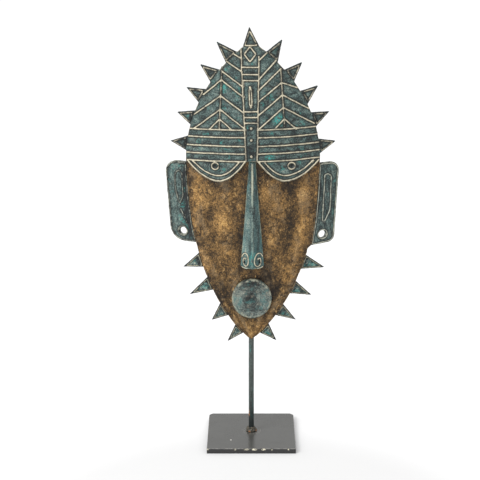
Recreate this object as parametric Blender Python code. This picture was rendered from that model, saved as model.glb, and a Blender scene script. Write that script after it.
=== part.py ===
"""Decorative metal mask with brow lobes, rays and ears, standing on a rod and a square plate.

Metres, Z up. The mask looks along -Y, +X is the viewer's right, and the origin is the
middle of the plate's underside.
"""
import math

import bmesh
import bpy
from mathutils import Vector
from mathutils.geometry import delaunay_2d_cdt

# Stand
PLATE_SIDE = 0.100
PLATE_THICKNESS = 0.006
PLATE_CORNER_CLIP = 0.004
PLATE_EDGE_BEVEL = 0.0004
ROD_DIAMETER = 0.006
ROD_BELOW_BROW = 0.006
BEAD_DIAMETER = 0.0126
BEAD_HEIGHT = 0.0054

# Clearances between neighbouring pieces
JOINT_GAP = 0.0003
LAP_GAP = 0.0004

# Mask: heights above the table and widths from the rod's centre line
CHIN_HEIGHT = 0.1198
BROW_HEIGHT = 0.3255
CROWN_HEIGHT = 0.4560
LEFT_HALF_WIDTH = 0.0705
RIGHT_HALF_WIDTH = 0.0742
BOW_RADIUS = 0.165
FACE_WALL = 0.0025
FACE_TUCK = 0.008
FACE_FLARE = 0.0025
DENT_DEPTH = 0.0013
DENT_PITCH = 0.034
CHEEK_STEP = 0.0032
CHEEK_STEP_HEIGHT = 0.0030
HEADDRESS_WALL = 0.0030

# Headdress outline, brow lobes and rays
LOBE_DROP = 0.0232
LOBE_CURVE = 1.9
LOBE_SKEW = 0.10
EYE_BELOW_BROW = 0.0052
BAND_TOP_LEFT = 0.0112
BAND_TOP_RIGHT = 0.0082
BAND_FOOT_LEFT = 0.0055
BAND_FOOT_RIGHT = 0.0064
RAY_BASE = 0.0165
RAY_REACH = 0.0203
RAY_FRAME = 0.0015
RAY_THREAD_WIDTH = 0.0020
CROWN_RAY_HEIGHT = 0.0156
CROWN_RAY_BASE = 0.0176
CROWN_RAY_LEAN = 0.0022
DIAMOND_WIDTH = 0.0123
DIAMOND_HEIGHT = 0.0160
SMALL_CHEVRON_LEFT = 0.0105
SMALL_CHEVRON_RIGHT = 0.0130

# Raised threads and pellets
THREAD_WIDTH = 0.0022
THREAD_HEIGHT = 0.0011
PELLET_DIAMETER = 0.0030
PELLET_HEIGHT = 0.0012
STUD_DIAMETER = 0.0038
EDGE_MARGIN = 0.0016
RIM_MARGIN = 0.0004
EYE_DIAMETER = 0.0078

# Nose and mouth
NOSE_LENGTH = 0.1215
NOSE_TOP_WIDTH = 0.0076
NOSE_BOTTOM_WIDTH = 0.0264
NOSE_EDGE = 0.0014
NOSE_TOP_RISE = 0.0030
NOSE_BOTTOM_RISE = 0.0095
NOSE_OFFSET = 0.0011
NOSE_FOOT_ROUND = 0.0040
NOSE_FOOT_SLOPE = 0.0060
SCROLL_HEIGHT = 0.0176
LEFT_SCROLL_WIDTH = 0.0080
RIGHT_SCROLL_WIDTH = 0.0100
SCROLL_ABOVE_TIP = 0.0014
NOSE_BEAD_DIAMETER = 0.0022
NOSE_BEAD_HEIGHT = 0.0008
MOUTH_BELOW_NOSE = 0.0116
MOUTH_WIDTH = 0.0436
MOUTH_TALLNESS = 0.0458
MOUTH_RIM_RISE = 0.0052
MOUTH_EDGE_RISE = 0.0036
MOUTH_FLOOR = 0.0012

# Ears
EAR_WALL = 0.0030
EAR_TUCK = 0.0030
LEFT_EAR_TOP_WIDTH = 0.0258
LEFT_EAR_FOOT_WIDTH = 0.0295
RIGHT_EAR_TOP_WIDTH = 0.0241
RIGHT_EAR_FOOT_WIDTH = 0.0274
LEFT_EAR_TOP_ROUND = 0.0130
LEFT_EAR_FOOT_ROUND = 0.0165
RIGHT_EAR_TOP_ROUND = 0.0100
RIGHT_EAR_FOOT_ROUND = 0.0085
EAR_FOOT_SLANT = 0.0020
EAR_HOLE_DIAMETER = 0.0082
LEFT_EAR_HOLE_FROM_FACE = 0.0132
RIGHT_EAR_HOLE_FROM_FACE = 0.0118
EAR_RING_WIDTH = 0.0017
EAR_RIM_MARGIN = 0.0005

# Rays below the cheeks
JAW_RAY_WALL = 0.0030
JAW_RAY_TUCK = 0.0045

# How finely the bowed sheets are faceted
SHEET_STEP = 0.0115
THREAD_STEP = 0.0100
EDGE_STEP = 0.0070

MERGE = 0.00002
# Edges that turn by more degrees than this stay sharp
SHARP_FROM = 40

# The same sizes by side, -1 for the viewer's left and 1 for the right
HALF_WIDTH = {-1: LEFT_HALF_WIDTH, 1: RIGHT_HALF_WIDTH}
BAND_TOP = {-1: BAND_TOP_LEFT, 1: BAND_TOP_RIGHT}
BAND_FOOT = {-1: BAND_FOOT_LEFT, 1: BAND_FOOT_RIGHT}
SCROLL_WIDTH = {-1: LEFT_SCROLL_WIDTH, 1: RIGHT_SCROLL_WIDTH}
FACE_RISE = BROW_HEIGHT - CHIN_HEIGHT
DOME_RISE = CROWN_HEIGHT - BROW_HEIGHT
NOSE_TIP_HEIGHT = BROW_HEIGHT - NOSE_LENGTH
MOUTH_HEIGHT = NOSE_TIP_HEIGHT - MOUTH_BELOW_NOSE - MOUTH_TALLNESS / 2


def clear_scene():
    for item in list(bpy.data.objects):
        bpy.data.objects.remove(item, do_unlink=True)


def make_material(name, colour, roughness, metallic):
    material = bpy.data.materials.new(name)
    material.use_nodes = True
    shader = material.node_tree.nodes["Principled BSDF"]
    shader.inputs["Base Color"].default_value = (*colour, 1.0)
    shader.inputs["Roughness"].default_value = roughness
    shader.inputs["Metallic"].default_value = metallic
    return material


# The bowed sheet that every piece of the mask follows

FACE_FRONT = -(ROD_DIAMETER / 2 + JOINT_GAP + FACE_WALL)


def bowed(x, z, depth):
    """A point of the mask: x and z in front view, depth measured back from the face's skin."""
    slope = x / BOW_RADIUS
    length = math.hypot(1.0, slope)
    y = FACE_FRONT + x * x / (2 * BOW_RADIUS)
    return Vector((x - depth * slope / length, y + depth / length, z))


# Flat geometry in front view

def resample(points, step, closed=False):
    """Points along a polyline no further apart than step, its own corners kept."""
    ends = points[1:] + points[:1] if closed else points[1:]
    result = []
    for start, end in zip(points, ends):
        length = math.dist(start, end)
        count = max(1, math.ceil(length / step))
        for index in range(count):
            share = index / count
            result.append((start[0] + (end[0] - start[0]) * share, start[1] + (end[1] - start[1]) * share))
    if not closed:
        result.append(points[-1])
    return result


def circle(centre, radius, count, start=0.0):
    turns = [start + 2 * math.pi * index / count for index in range(count)]
    return [(centre[0] + radius * math.cos(turn), centre[1] + radius * math.sin(turn)) for turn in turns]


def inside(point, polygon):
    x, z = point
    hit = False
    for (x0, z0), (x1, z1) in zip(polygon, polygon[1:] + polygon[:1]):
        if (z0 > z) != (z1 > z) and x < x0 + (z - z0) * (x1 - x0) / (z1 - z0):
            hit = not hit
    return hit


def segment_distance(point, start, end):
    dx, dz = end[0] - start[0], end[1] - start[1]
    length_squared = dx * dx + dz * dz
    share = 0.0
    if length_squared > 0:
        share = ((point[0] - start[0]) * dx + (point[1] - start[1]) * dz) / length_squared
        share = min(1.0, max(0.0, share))
    return math.hypot(point[0] - start[0] - share * dx, point[1] - start[1] - share * dz)


def offset_line(points, distance, closed=False):
    """The polyline moved to its left by distance, with mitred corners."""
    count = len(points)
    result = []
    for index, point in enumerate(points):
        before = points[index - 1] if closed or index > 0 else None
        after = points[(index + 1) % count] if closed or index < count - 1 else None
        normals = []
        for start, end in ((before, point), (point, after)):
            if start is not None and end is not None:
                length = math.dist(start, end)
                normals.append(((start[1] - end[1]) / length, (end[0] - start[0]) / length))
        nx = sum(normal[0] for normal in normals) / len(normals)
        nz = sum(normal[1] for normal in normals) / len(normals)
        spread = max(nx * nx + nz * nz, 0.3)
        result.append((point[0] + distance * nx / spread, point[1] + distance * nz / spread))
    return result


def shrink_triangle(corners, margin):
    """The triangle moved in from its sides by margin."""
    sides = [math.dist(corners[(i + 1) % 3], corners[(i + 2) % 3]) for i in range(3)]
    around = sum(sides)
    centre = [sum(side * corner[axis] for side, corner in zip(sides, corners)) / around for axis in (0, 1)]
    (ax, az), (bx, bz), (cx, cz) = corners
    inradius = abs((bx - ax) * (cz - az) - (cx - ax) * (bz - az)) / around
    keep = 1.0 - margin / inradius
    return [tuple(centre[axis] + keep * (corner[axis] - centre[axis]) for axis in (0, 1)) for corner in corners]


class Relief:
    """Raised threads and pellets laid on a sheet, as heights over the front view."""

    def __init__(self):
        self.threads = []
        self.pellets = []

    def thread(self, points, closed=False, width=THREAD_WIDTH, height=THREAD_HEIGHT):
        self.threads.append((resample(list(points), THREAD_STEP, closed), closed, width / 2, height))

    def pellet(self, centre, diameter=PELLET_DIAMETER, height=PELLET_HEIGHT):
        self.pellets.append((centre, diameter / 2, height))

    def lines(self):
        """The crest and both feet of every thread, and two rings for every pellet."""
        result = []
        for points, closed, half, _ in self.threads:
            left = offset_line(points, half, closed)
            right = offset_line(points, -half, closed)
            result.append((points, closed))
            if closed:
                result += [(left, True), (right, True)]
            else:
                result.append((left + [self.cap(points[-2], points[-1], half)] + right[::-1]
                               + [self.cap(points[1], points[0], half)], True))
        for centre, radius, _ in self.pellets:
            result.append((circle(centre, radius, 8), True))
            result.append((circle(centre, radius * 0.5, 4, math.pi / 8), True))
        return result

    @staticmethod
    def cap(before, end, reach):
        length = math.dist(before, end)
        return (end[0] + (end[0] - before[0]) * reach / length, end[1] + (end[1] - before[1]) * reach / length)

    def height(self, point):
        best = 0.0
        for points, closed, half, rise in self.threads:
            ends = points[1:] + points[:1] if closed else points[1:]
            distance = min(segment_distance(point, start, end) for start, end in zip(points, ends))
            best = max(best, rise * (1.0 - distance / half))
        for centre, radius, rise in self.pellets:
            share = math.dist(point, centre) / radius
            if share < 1.0:
                best = max(best, rise * math.sqrt(1.0 - share * share))
        return best


# Solids made from a front view

def triangulate(outline, holes, lines, free_points):
    """Triangles that fill the outline, with every given line as edges."""
    points = []
    edges = []
    for line, closed in [(outline, True)] + [(hole, True) for hole in holes] + lines:
        first = len(points)
        points += line
        edges += [(first + i, first + i + 1) for i in range(len(line) - 1)]
        if closed:
            edges.append((first + len(line) - 1, first))
    points += free_points
    made = delaunay_2d_cdt([Vector(point) for point in points], edges, [], 0, MERGE)
    flat, faces = made[0], made[2]
    flat = [(point[0], point[1]) for point in flat]
    kept = []
    for face in faces:
        middle = tuple(sum(flat[index][axis] for index in face) / len(face) for axis in (0, 1))
        if inside(middle, outline) and not any(inside(middle, hole) for hole in holes):
            (ax, az), (bx, bz), (cx, cz) = [flat[index] for index in face]
            turned = (bx - ax) * (cz - az) - (cx - ax) * (bz - az) < 0
            kept.append(tuple(reversed(face)) if turned else tuple(face))
    return flat, kept


def boundary_loops(faces):
    """The rims of a triangulation, each in the direction that its triangles run."""
    sides = {(face[i], face[(i + 1) % 3]) for face in faces for i in range(3)}
    following = {start: end for start, end in sides if (end, start) not in sides}
    loops = []
    while following:
        start = next(iter(following))
        loop = [start]
        while following[loop[-1]] != start:
            loop.append(following.pop(loop[-1]))
        following.pop(loop[-1])
        loops.append(loop)
    return loops


def sheet_points(outline, holes, avoid, step):
    """Free points on a grid inside the outline, clear of every line."""
    clear = step * 0.35
    rims = [(outline, True)] + [(hole, True) for hole in holes] + avoid
    x_low = min(point[0] for point in outline)
    x_high = max(point[0] for point in outline)
    z_low = min(point[1] for point in outline)
    z_high = max(point[1] for point in outline)
    result = []
    for column in range(math.floor(x_low / step), math.ceil(x_high / step) + 1):
        for row in range(math.floor(z_low / step), math.ceil(z_high / step) + 1):
            point = (column * step, (row + 0.5 * (column % 2)) * step)
            if not inside(point, outline) or any(inside(point, hole) for hole in holes):
                continue
            near = False
            for line, closed in rims:
                ends = line[1:] + line[:1] if closed else line[1:]
                if any(segment_distance(point, start, end) < clear for start, end in zip(line, ends)):
                    near = True
                    break
            if not near:
                result.append(point)
    return result


def plate(name, material, outline, front, back, holes=(), lines=(), rise=None, step=SHEET_STEP):
    """A closed sheet between two depths behind the face's skin; rise lifts its front."""
    holes = list(holes)
    lines = list(lines)
    free = sheet_points(outline, holes, lines, step)
    flat, faces = triangulate(outline, holes, lines, free)
    used = sorted({index for face in faces for index in face})
    loops = boundary_loops(faces)
    mesh = bmesh.new()
    front_vertex = {}
    for index in used:
        x, z = flat[index]
        lift = rise((x, z)) if rise else 0.0
        front_vertex[index] = mesh.verts.new(bowed(x, z, front - lift))
    for face in faces:
        mesh.faces.new([front_vertex[index] for index in face])
    rims = [[flat[index] for index in loop] for loop in loops]
    rims.sort(key=lambda rim: -abs(polygon_area(rim)))
    back_free = sheet_points(rims[0], rims[1:], [], SHEET_STEP)
    back_flat, back_faces = triangulate(rims[0], rims[1:], [], back_free)
    back_vertex = {}
    for face in back_faces:
        for index in face:
            if index not in back_vertex:
                x, z = back_flat[index]
                back_vertex[index] = mesh.verts.new(bowed(x, z, back))
    for face in back_faces:
        mesh.faces.new([back_vertex[index] for index in reversed(face)])
    behind = {key_of(back_flat[index]): vertex for index, vertex in back_vertex.items()}
    for loop in loops:
        for start, end in zip(loop, loop[1:] + loop[:1]):
            back_start = behind[key_of(flat[start])]
            back_end = behind[key_of(flat[end])]
            mesh.faces.new([front_vertex[end], front_vertex[start], back_start])
            mesh.faces.new([front_vertex[end], back_start, back_end])
    return finish(name, material, mesh, smooth=True)


def key_of(point):
    return (round(point[0], 7), round(point[1], 7))


def polygon_area(points):
    return sum(x0 * z1 - x1 * z0 for (x0, z0), (x1, z1) in zip(points, points[1:] + points[:1])) / 2


def finish(name, material, mesh, smooth=False):
    data = bpy.data.meshes.new(name)
    mesh.normal_update()
    mesh.to_mesh(data)
    mesh.free()
    data.materials.append(material)
    if smooth:
        data.shade_smooth()
        data.set_sharp_from_angle(angle=math.radians(SHARP_FROM))
    item = bpy.data.objects.new(name, data)
    bpy.context.collection.objects.link(item)
    return item


# Headdress

def dome_edge(side, z):
    """x of the headdress's outer edge at height z."""
    share = max(0.0, (z - BROW_HEIGHT) / DOME_RISE)
    return side * HALF_WIDTH[side] * max(0.0, 1.0 - share * share) ** 0.85


# Each ray's place up the dome as a share of its rise, lean above level in degrees, and share of RAY_REACH
DOME_RAYS = {
    1: [(0.110, 12, 0.93), (0.340, 23, 0.93), (0.528, 39, 0.95), (0.715, 46, 0.96), (0.872, 60, 1.04)],
    -1: [(0.140, 2, 0.91), (0.358, 16, 0.87), (0.545, 26, 0.93), (0.714, 37, 0.97), (0.870, 46, 1.12)],
}


def ray_corners(edge, side, z, lean, base, reach):
    """Lower foot, tip and upper foot of a ray that stands on the edge at height z."""
    step = 0.001
    tangent = Vector((edge(side, z + step) - edge(side, z - step), 2 * step)).normalized()
    low_z = z - tangent.y * base / 2
    high_z = z + tangent.y * base / 2
    low = (edge(side, low_z), low_z)
    high = (edge(side, high_z), high_z)
    turn = math.radians(lean)
    tip = ((low[0] + high[0]) / 2 + side * reach * math.cos(turn), (low[1] + high[1]) / 2 + reach * math.sin(turn))
    return low, tip, high


def dome_side(side):
    """The outer edge from brow to crown, with its rays, as points going up."""
    points = []
    z = BROW_HEIGHT
    for share, lean, reach in DOME_RAYS[side]:
        low, tip, high = ray_corners(dome_edge, side, dome_height(share), lean, RAY_BASE, reach * RAY_REACH)
        points += edge_run(side, z, low[1])
        points += [low, tip]
        z = high[1]
    points += edge_run(side, z, crown_foot())
    return points


def edge_run(side, z_start, z_end):
    count = max(1, round((z_end - z_start) / EDGE_STEP))
    heights = [z_start + (z_end - z_start) * index / count for index in range(count)]
    return [(dome_edge(side, z), z) for z in heights]


def crown_foot():
    """Height at which the crown's ray leaves the dome's edge."""
    z = CROWN_HEIGHT
    while dome_edge(1, z) < CROWN_RAY_BASE / 2:
        z -= 0.0002
    return z


def band_edge(side, z):
    """x of the edge of the band down the headdress's middle at height z."""
    share = (z - BROW_HEIGHT) / DOME_RISE
    return side * (BAND_FOOT[side] + (BAND_TOP[side] - BAND_FOOT[side]) * share)


def lobe_edge(side, x, inset=0.0):
    """Height of a brow lobe's lower edge at x, moved in by inset."""
    inner = band_edge(side, BROW_HEIGHT)
    outer = side * HALF_WIDTH[side]
    half = abs(outer - inner) / 2
    lowest = (inner + outer) / 2 - side * half * LOBE_SKEW
    reach = half * (1.0 + LOBE_SKEW if abs(x) > abs(lowest) else 1.0 - LOBE_SKEW) - inset
    share = min(1.0, abs(x - lowest) / reach)
    drop = LOBE_DROP - inset
    return BROW_HEIGHT - drop * (1.0 - share ** LOBE_CURVE)


def lobe_line(side, inset, count):
    """Points along a lobe's edge from the band outwards."""
    inner = band_edge(side, BROW_HEIGHT) + side * inset
    outer = side * (HALF_WIDTH[side] - inset)
    points = []
    for index in range(count + 1):
        turn = math.pi * index / count
        x = inner + (outer - inner) * (1.0 - math.cos(turn)) / 2
        points.append((x, lobe_edge(side, x, inset)))
    return points


def crown_ray():
    """Right foot, tip and left foot of the ray at the top."""
    foot = crown_foot()
    return [(CROWN_RAY_BASE / 2, foot), (-CROWN_RAY_LEAN, CROWN_HEIGHT + CROWN_RAY_HEIGHT),
            (-CROWN_RAY_BASE / 2, foot)]


def headdress_outline():
    right_lobe = lobe_line(1, 0.0, 16)
    left_lobe = lobe_line(-1, 0.0, 16)
    points = right_lobe[:-1] + dome_side(1) + crown_ray() + dome_side(-1)[::-1]
    points += left_lobe[:-1][::-1]
    return points


def until_edge(start, slope, side, stop, step=0.0005):
    """Where a line from start, falling by slope as it runs outwards to side, meets stop."""
    x, z = start
    while not stop(x, z):
        x += side * step
        z -= slope * step
    return (x, z)


def outside_dome(side):
    return lambda x, z: abs(x) >= abs(dome_edge(side, z)) - EDGE_MARGIN or z < BROW_HEIGHT


def at_band(side):
    return lambda x, z: abs(x) <= abs(band_edge(side, z))


# Rows of level threads above the brow, as shares of the dome's rise
ROW_SHARES = (0.004, 0.068, 0.133, 0.206, 0.270)
# Right-hand rows climb a little towards the edge
ROW_CLIMB = {-1: -0.010, 1: 0.025}

# The spine that the chevrons hang on: shares of the side's half width and of the dome's rise
SPINE_TOP = {-1: (0.433, 0.790), 1: (0.415, 0.762)}
SPINE_FOOT = {-1: (0.482, 0.270), 1: (0.474, 0.290)}
# Chevrons: apex height share, slope of the leg to the band, slope of the outer leg
CHEVRONS = {
    -1: [(0.440, 0.80, 0.80), (0.553, 0.76, 0.76), (0.686, 0.80, 0.88)],
    1: [(0.455, 0.90, 0.57), (0.560, 0.87, 0.57), (0.662, 0.83, 0.36)],
}
# Legs without an outer half: start height share and slope to the band
HALF_LEGS = {-1: [(0.757, 0.76), (0.830, 0.67), (0.893, 0.67)], 1: [(0.775, 0.99), (0.838, 1.14), (0.905, 0.98)]}


def spine_x(side, share):
    (top_out, top), (foot_out, foot) = SPINE_TOP[side], SPINE_FOOT[side]
    along = (share - foot) / (top - foot)
    return side * HALF_WIDTH[side] * (foot_out + (top_out - foot_out) * along)


def dome_height(share):
    return BROW_HEIGHT + DOME_RISE * share


def add_rows(relief):
    for side in (-1, 1):
        for share in ROW_SHARES:
            z = dome_height(share)
            start = band_edge(side, z) + side * THREAD_WIDTH * 0.4
            end = abs(dome_edge(side, z)) - EDGE_MARGIN
            middle = (abs(start) + end) / 2
            climb = ROW_CLIMB[side]
            relief.thread([(start, z), (side * middle, z + climb * (middle - abs(start)) * 0.6),
                           (side * end, z + climb * (end - abs(start)))])


def add_chevrons(relief):
    for side in (-1, 1):
        for share, inner, outer in CHEVRONS[side]:
            apex = (spine_x(side, share), dome_height(share))
            to_band = until_edge(apex, inner, -side, at_band(side))
            to_edge = until_edge(apex, outer, side, outside_dome(side))
            row = dome_height(ROW_SHARES[-1])
            if to_edge[1] < row:
                reach = (apex[1] - row) / outer
                to_edge = (apex[0] + side * reach, row)
            relief.thread([to_band, apex, to_edge])
        for share, slope in HALF_LEGS[side]:
            z = dome_height(share)
            start_x = side * min(abs(spine_x(side, share)), abs(dome_edge(side, z)) - EDGE_MARGIN)
            start = (start_x, z)
            relief.thread([start, until_edge(start, slope, -side, at_band(side))])
        top_share = SPINE_TOP[side][1]
        foot_share = SPINE_FOOT[side][1]
        relief.thread([(spine_x(side, share), dome_height(share)) for share in (top_share, foot_share)])
        small = (spine_x(side, 0.345), dome_height(0.360))
        row = dome_height(ROW_SHARES[-1])
        relief.thread([(small[0] - SMALL_CHEVRON_LEFT, row), small, (small[0] + SMALL_CHEVRON_RIGHT, row)])


# Down the middle band, as shares of the dome's rise: the diamond, the bars and the studs
DIAMOND_SHARE = 0.897
BAR_SHARES = (0.790, 0.731, 0.681, 0.424, 0.376, 0.328)
STUD_SHARES = (0.283, 0.184, 0.046)
# The needle between the bars: height share and place across in thread widths
NEEDLE = [(0.626, -0.25), (0.601, -0.72), (0.484, -0.55), (0.459, 0.12), (0.484, 0.55), (0.601, 0.30)]


def band_middle(z):
    return (band_edge(-1, z) + band_edge(1, z)) / 2


def add_band(relief):
    for side in (-1, 1):
        high = dome_height(0.945 if side < 0 else 0.880)
        low = dome_height(0.012)
        relief.thread([(band_edge(side, high), high), (band_edge(side, (high + low) / 2), (high + low) / 2),
                       (band_edge(side, low), low)])
    for share in BAR_SHARES:
        z = dome_height(share)
        inner = THREAD_WIDTH * 0.3
        relief.thread([(band_edge(-1, z) + inner, z), (band_edge(1, z) - inner, z)])
    middle_z = dome_height(DIAMOND_SHARE)
    middle_x = band_middle(middle_z)
    tall = DIAMOND_HEIGHT / 2
    wide = DIAMOND_WIDTH / 2
    relief.thread([(middle_x, middle_z + tall), (middle_x - wide, middle_z), (middle_x, middle_z - tall),
                   (middle_x + wide, middle_z)], closed=True)
    needle = [(band_middle(dome_height(share)) + across * THREAD_WIDTH, dome_height(share))
              for share, across in NEEDLE]
    relief.thread(needle, closed=True, width=THREAD_WIDTH * 0.7)
    for end in (needle[0], needle[3]):
        relief.pellet(end)
    for share in STUD_SHARES:
        z = dome_height(share)
        relief.pellet((band_middle(z), z), diameter=STUD_DIAMETER)


# Inset of a lobe's inner arc as a share of its drop, and the eyes' places as shares of the half widths
ARC_INSET = 0.31
EYE_OUT = {-1: 0.546, 1: 0.580}


def add_brow(relief):
    for side in (-1, 1):
        rim = THREAD_WIDTH / 2 + RIM_MARGIN
        relief.thread(lobe_line(side, rim, 16)[1:-1])
        arc = lobe_line(side, LOBE_DROP * ARC_INSET, 14)[1:-1]
        relief.thread(arc)
        eye = (side * HALF_WIDTH[side] * EYE_OUT[side], BROW_HEIGHT - EYE_BELOW_BROW)
        relief.thread(circle(eye, EYE_DIAMETER / 2, 12), closed=True)
        relief.pellet(arc[-1])


def add_ray_frames(relief):
    for side in (-1, 1):
        for share, lean, reach in DOME_RAYS[side]:
            corners = ray_corners(dome_edge, side, dome_height(share), lean, RAY_BASE, reach * RAY_REACH)
            relief.thread(shrink_triangle(corners, RAY_FRAME), closed=True, width=RAY_THREAD_WIDTH)
    relief.thread(shrink_triangle(crown_ray(), RAY_FRAME), closed=True, width=RAY_THREAD_WIDTH)


def make_headdress(material):
    relief = Relief()
    add_rows(relief)
    add_chevrons(relief)
    add_band(relief)
    add_brow(relief)
    add_ray_frames(relief)
    front = -LAP_GAP - HEADDRESS_WALL
    plate("headdress", material, headdress_outline(), front, -LAP_GAP, lines=relief.lines(), rise=relief.height)


# Face

# How far up the face its right edge steps out, above which the ears start
CHEEK_SHARE = 0.503


def face_edge(side, z):
    """x of the face's outer edge at height z."""
    share = min(1.0, max(0.0, (z - CHIN_HEIGHT) / FACE_RISE))
    width = HALF_WIDTH[side] * 0.99 * (1.0 - (1.0 - share) ** 2.65) ** 0.86
    above = max(0.0, share - CHEEK_SHARE) / (1.0 - CHEEK_SHARE)
    width += FACE_FLARE * above ** 2
    if side > 0 and above > 0.0:
        width += CHEEK_STEP * (1.0 - above) ** 2
    return side * width


def face_outline():
    top = BROW_HEIGHT + FACE_TUCK
    count = 26
    heights = [CHIN_HEIGHT + FACE_RISE * (index / count) ** 1.6 for index in range(1, count + 1)]
    step = CHIN_HEIGHT + FACE_RISE * CHEEK_SHARE
    right_heights = sorted([z for z in heights if abs(z - step) > EDGE_STEP / 3] + [step, step + CHEEK_STEP_HEIGHT])
    right_side = [(face_edge(1, z), z) for z in right_heights]
    left_side = [(face_edge(-1, z), z) for z in heights]
    cover = {side: side * (abs(dome_edge(side, top)) - LAP_GAP) for side in (-1, 1)}
    top_edge = resample([(cover[1], top), (cover[-1], top)], SHEET_STEP)
    return [(0.0, CHIN_HEIGHT)] + right_side + top_edge + left_side[::-1]


def dent(point):
    """How far the hammered skin lies below the full wall; nothing under the nose and the mouth."""
    x, z = point
    turn = 2 * math.pi / DENT_PITCH
    waves = (math.sin(turn * x + 1.7 * math.sin(turn * z * 0.42)) + math.sin(turn * (0.45 * x - 0.8 * z) + 1.0)
             + math.sin(turn * (1.3 * x + 0.5 * z) + 2.6))
    side = abs(x - NOSE_OFFSET) - nose_half(z) if z > NOSE_TIP_HEIGHT else DENT_PITCH
    around = math.dist(point, (NOSE_OFFSET, MOUTH_HEIGHT)) - MOUTH_WIDTH / 2
    fade = min(1.0, max(0.0, min(side, around, BROW_HEIGHT - z) / (DENT_PITCH * 0.3)))
    return -DENT_DEPTH * (0.5 + waves / 6) * fade


def make_face(material):
    plate("face", material, face_outline(), 0.0, FACE_WALL, rise=dent, step=SHEET_STEP * 0.72)


# Nose

def nose_half(z):
    share = (BROW_HEIGHT - z) / NOSE_LENGTH
    return (NOSE_TOP_WIDTH + (NOSE_BOTTOM_WIDTH - NOSE_TOP_WIDTH) * max(0.0, share) ** 1.08) / 2


def nose_outline():
    top = BROW_HEIGHT - JOINT_GAP
    corner_z = NOSE_TIP_HEIGHT + NOSE_FOOT_ROUND
    heights = [corner_z + (top - corner_z) * index / 12 for index in range(13)]
    right = [(NOSE_OFFSET + nose_half(z), z) for z in heights]
    left = [(NOSE_OFFSET - nose_half(z), z) for z in heights]
    foot = []
    for index in range(1, 8):
        turn = math.pi + math.pi * index / 8
        foot.append((NOSE_OFFSET + nose_half(corner_z) * math.cos(turn),
                     corner_z + NOSE_FOOT_ROUND * math.sin(turn)))
    return foot + right + left[::-1]


def scroll(side):
    """A tall scroll over one nostril, from its outer shoulder over the top and round."""
    wide = SCROLL_WIDTH[side]
    middle_z = NOSE_TIP_HEIGHT + SCROLL_ABOVE_TIP + SCROLL_HEIGHT / 2
    middle = (NOSE_OFFSET + side * (nose_half(middle_z) - wide / 2 - THREAD_WIDTH * 0.3), middle_z)
    points = []
    count = 20
    for index in range(count):
        share = index / (count - 1)
        turn = math.radians(35 + 420 * share)
        size = 1.0 - 0.78 * share ** 2
        points.append((middle[0] + side * size * wide / 2 * math.cos(turn),
                       middle[1] + size * SCROLL_HEIGHT / 2 * math.sin(turn)))
    return points


def nose_relief():
    relief = Relief()
    for side in (-1, 1):
        relief.thread(scroll(side), width=THREAD_WIDTH * 0.78, height=THREAD_HEIGHT * 0.9)
    relief.pellet((NOSE_OFFSET, NOSE_TIP_HEIGHT + SCROLL_HEIGHT), NOSE_BEAD_DIAMETER, NOSE_BEAD_HEIGHT)
    return relief


def make_nose(material):
    relief = nose_relief()

    def rise(point):
        """A narrow ridge that flares into flat wings towards the nostrils."""
        x, z = point
        share = min(1.0, max(0.0, (BROW_HEIGHT - z) / NOSE_LENGTH))
        height = NOSE_TOP_RISE + (NOSE_BOTTOM_RISE - NOSE_TOP_RISE) * share ** 1.1
        across = min(1.0, abs(x - NOSE_OFFSET) / nose_half(z))
        flare = 0.8 + 1.1 * share ** 3
        foot = min(1.0, max(0.0, z - NOSE_TIP_HEIGHT) / NOSE_FOOT_SLOPE)
        return NOSE_EDGE + height * (1.0 - across) ** flare * (0.35 + 0.65 * foot) + relief.height(point)

    top = BROW_HEIGHT - JOINT_GAP - NOSE_EDGE
    low = NOSE_TIP_HEIGHT + NOSE_FOOT_ROUND / 2
    heights = [low + (top - low) * index / 12 for index in range(13)]
    lines = [([(NOSE_OFFSET, z) for z in heights], False)]
    for side in (-1, 1):
        lines.append(([(NOSE_OFFSET + side * nose_half(z) * 0.5, z) for z in heights[3:]], False))
    lines += relief.lines()
    plate("nose", material, nose_outline(), -LAP_GAP, -LAP_GAP, lines=lines, rise=rise)


# Mouth

def mouth_ring(share, count):
    return [(x, MOUTH_HEIGHT + (z - MOUTH_HEIGHT) * MOUTH_TALLNESS / MOUTH_WIDTH)
            for x, z in circle((NOSE_OFFSET / 2, MOUTH_HEIGHT), share * MOUTH_WIDTH / 2, count)]


def make_mouth(material):
    """A shallow bowl that opens forwards."""
    # Profile from the bowl's middle to its edge: share of the radius, rise
    dip = MOUTH_RIM_RISE - MOUTH_FLOOR
    profile = [(0.0, MOUTH_FLOOR), (0.25, MOUTH_FLOOR + dip * 0.06), (0.50, MOUTH_FLOOR + dip * 0.25),
               (0.72, MOUTH_FLOOR + dip * 0.56), (0.95, MOUTH_RIM_RISE), (1.0, MOUTH_EDGE_RISE)]

    def rise(point):
        tall = (point[1] - MOUTH_HEIGHT) * MOUTH_WIDTH / MOUTH_TALLNESS
        share = min(1.0, math.hypot(point[0] - NOSE_OFFSET / 2, tall) / (MOUTH_WIDTH / 2))
        for (near, low), (far, high) in zip(profile, profile[1:]):
            if share <= far:
                return low + (high - low) * (share - near) / (far - near)
        return profile[-1][1]

    rings = [(mouth_ring(share, 32 if share > 0.6 else 16), True) for share, _ in profile[1:-1]]
    plate("mouth", material, mouth_ring(1.0, 36), -LAP_GAP, -LAP_GAP, lines=rings, rise=rise)


# Ears

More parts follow.
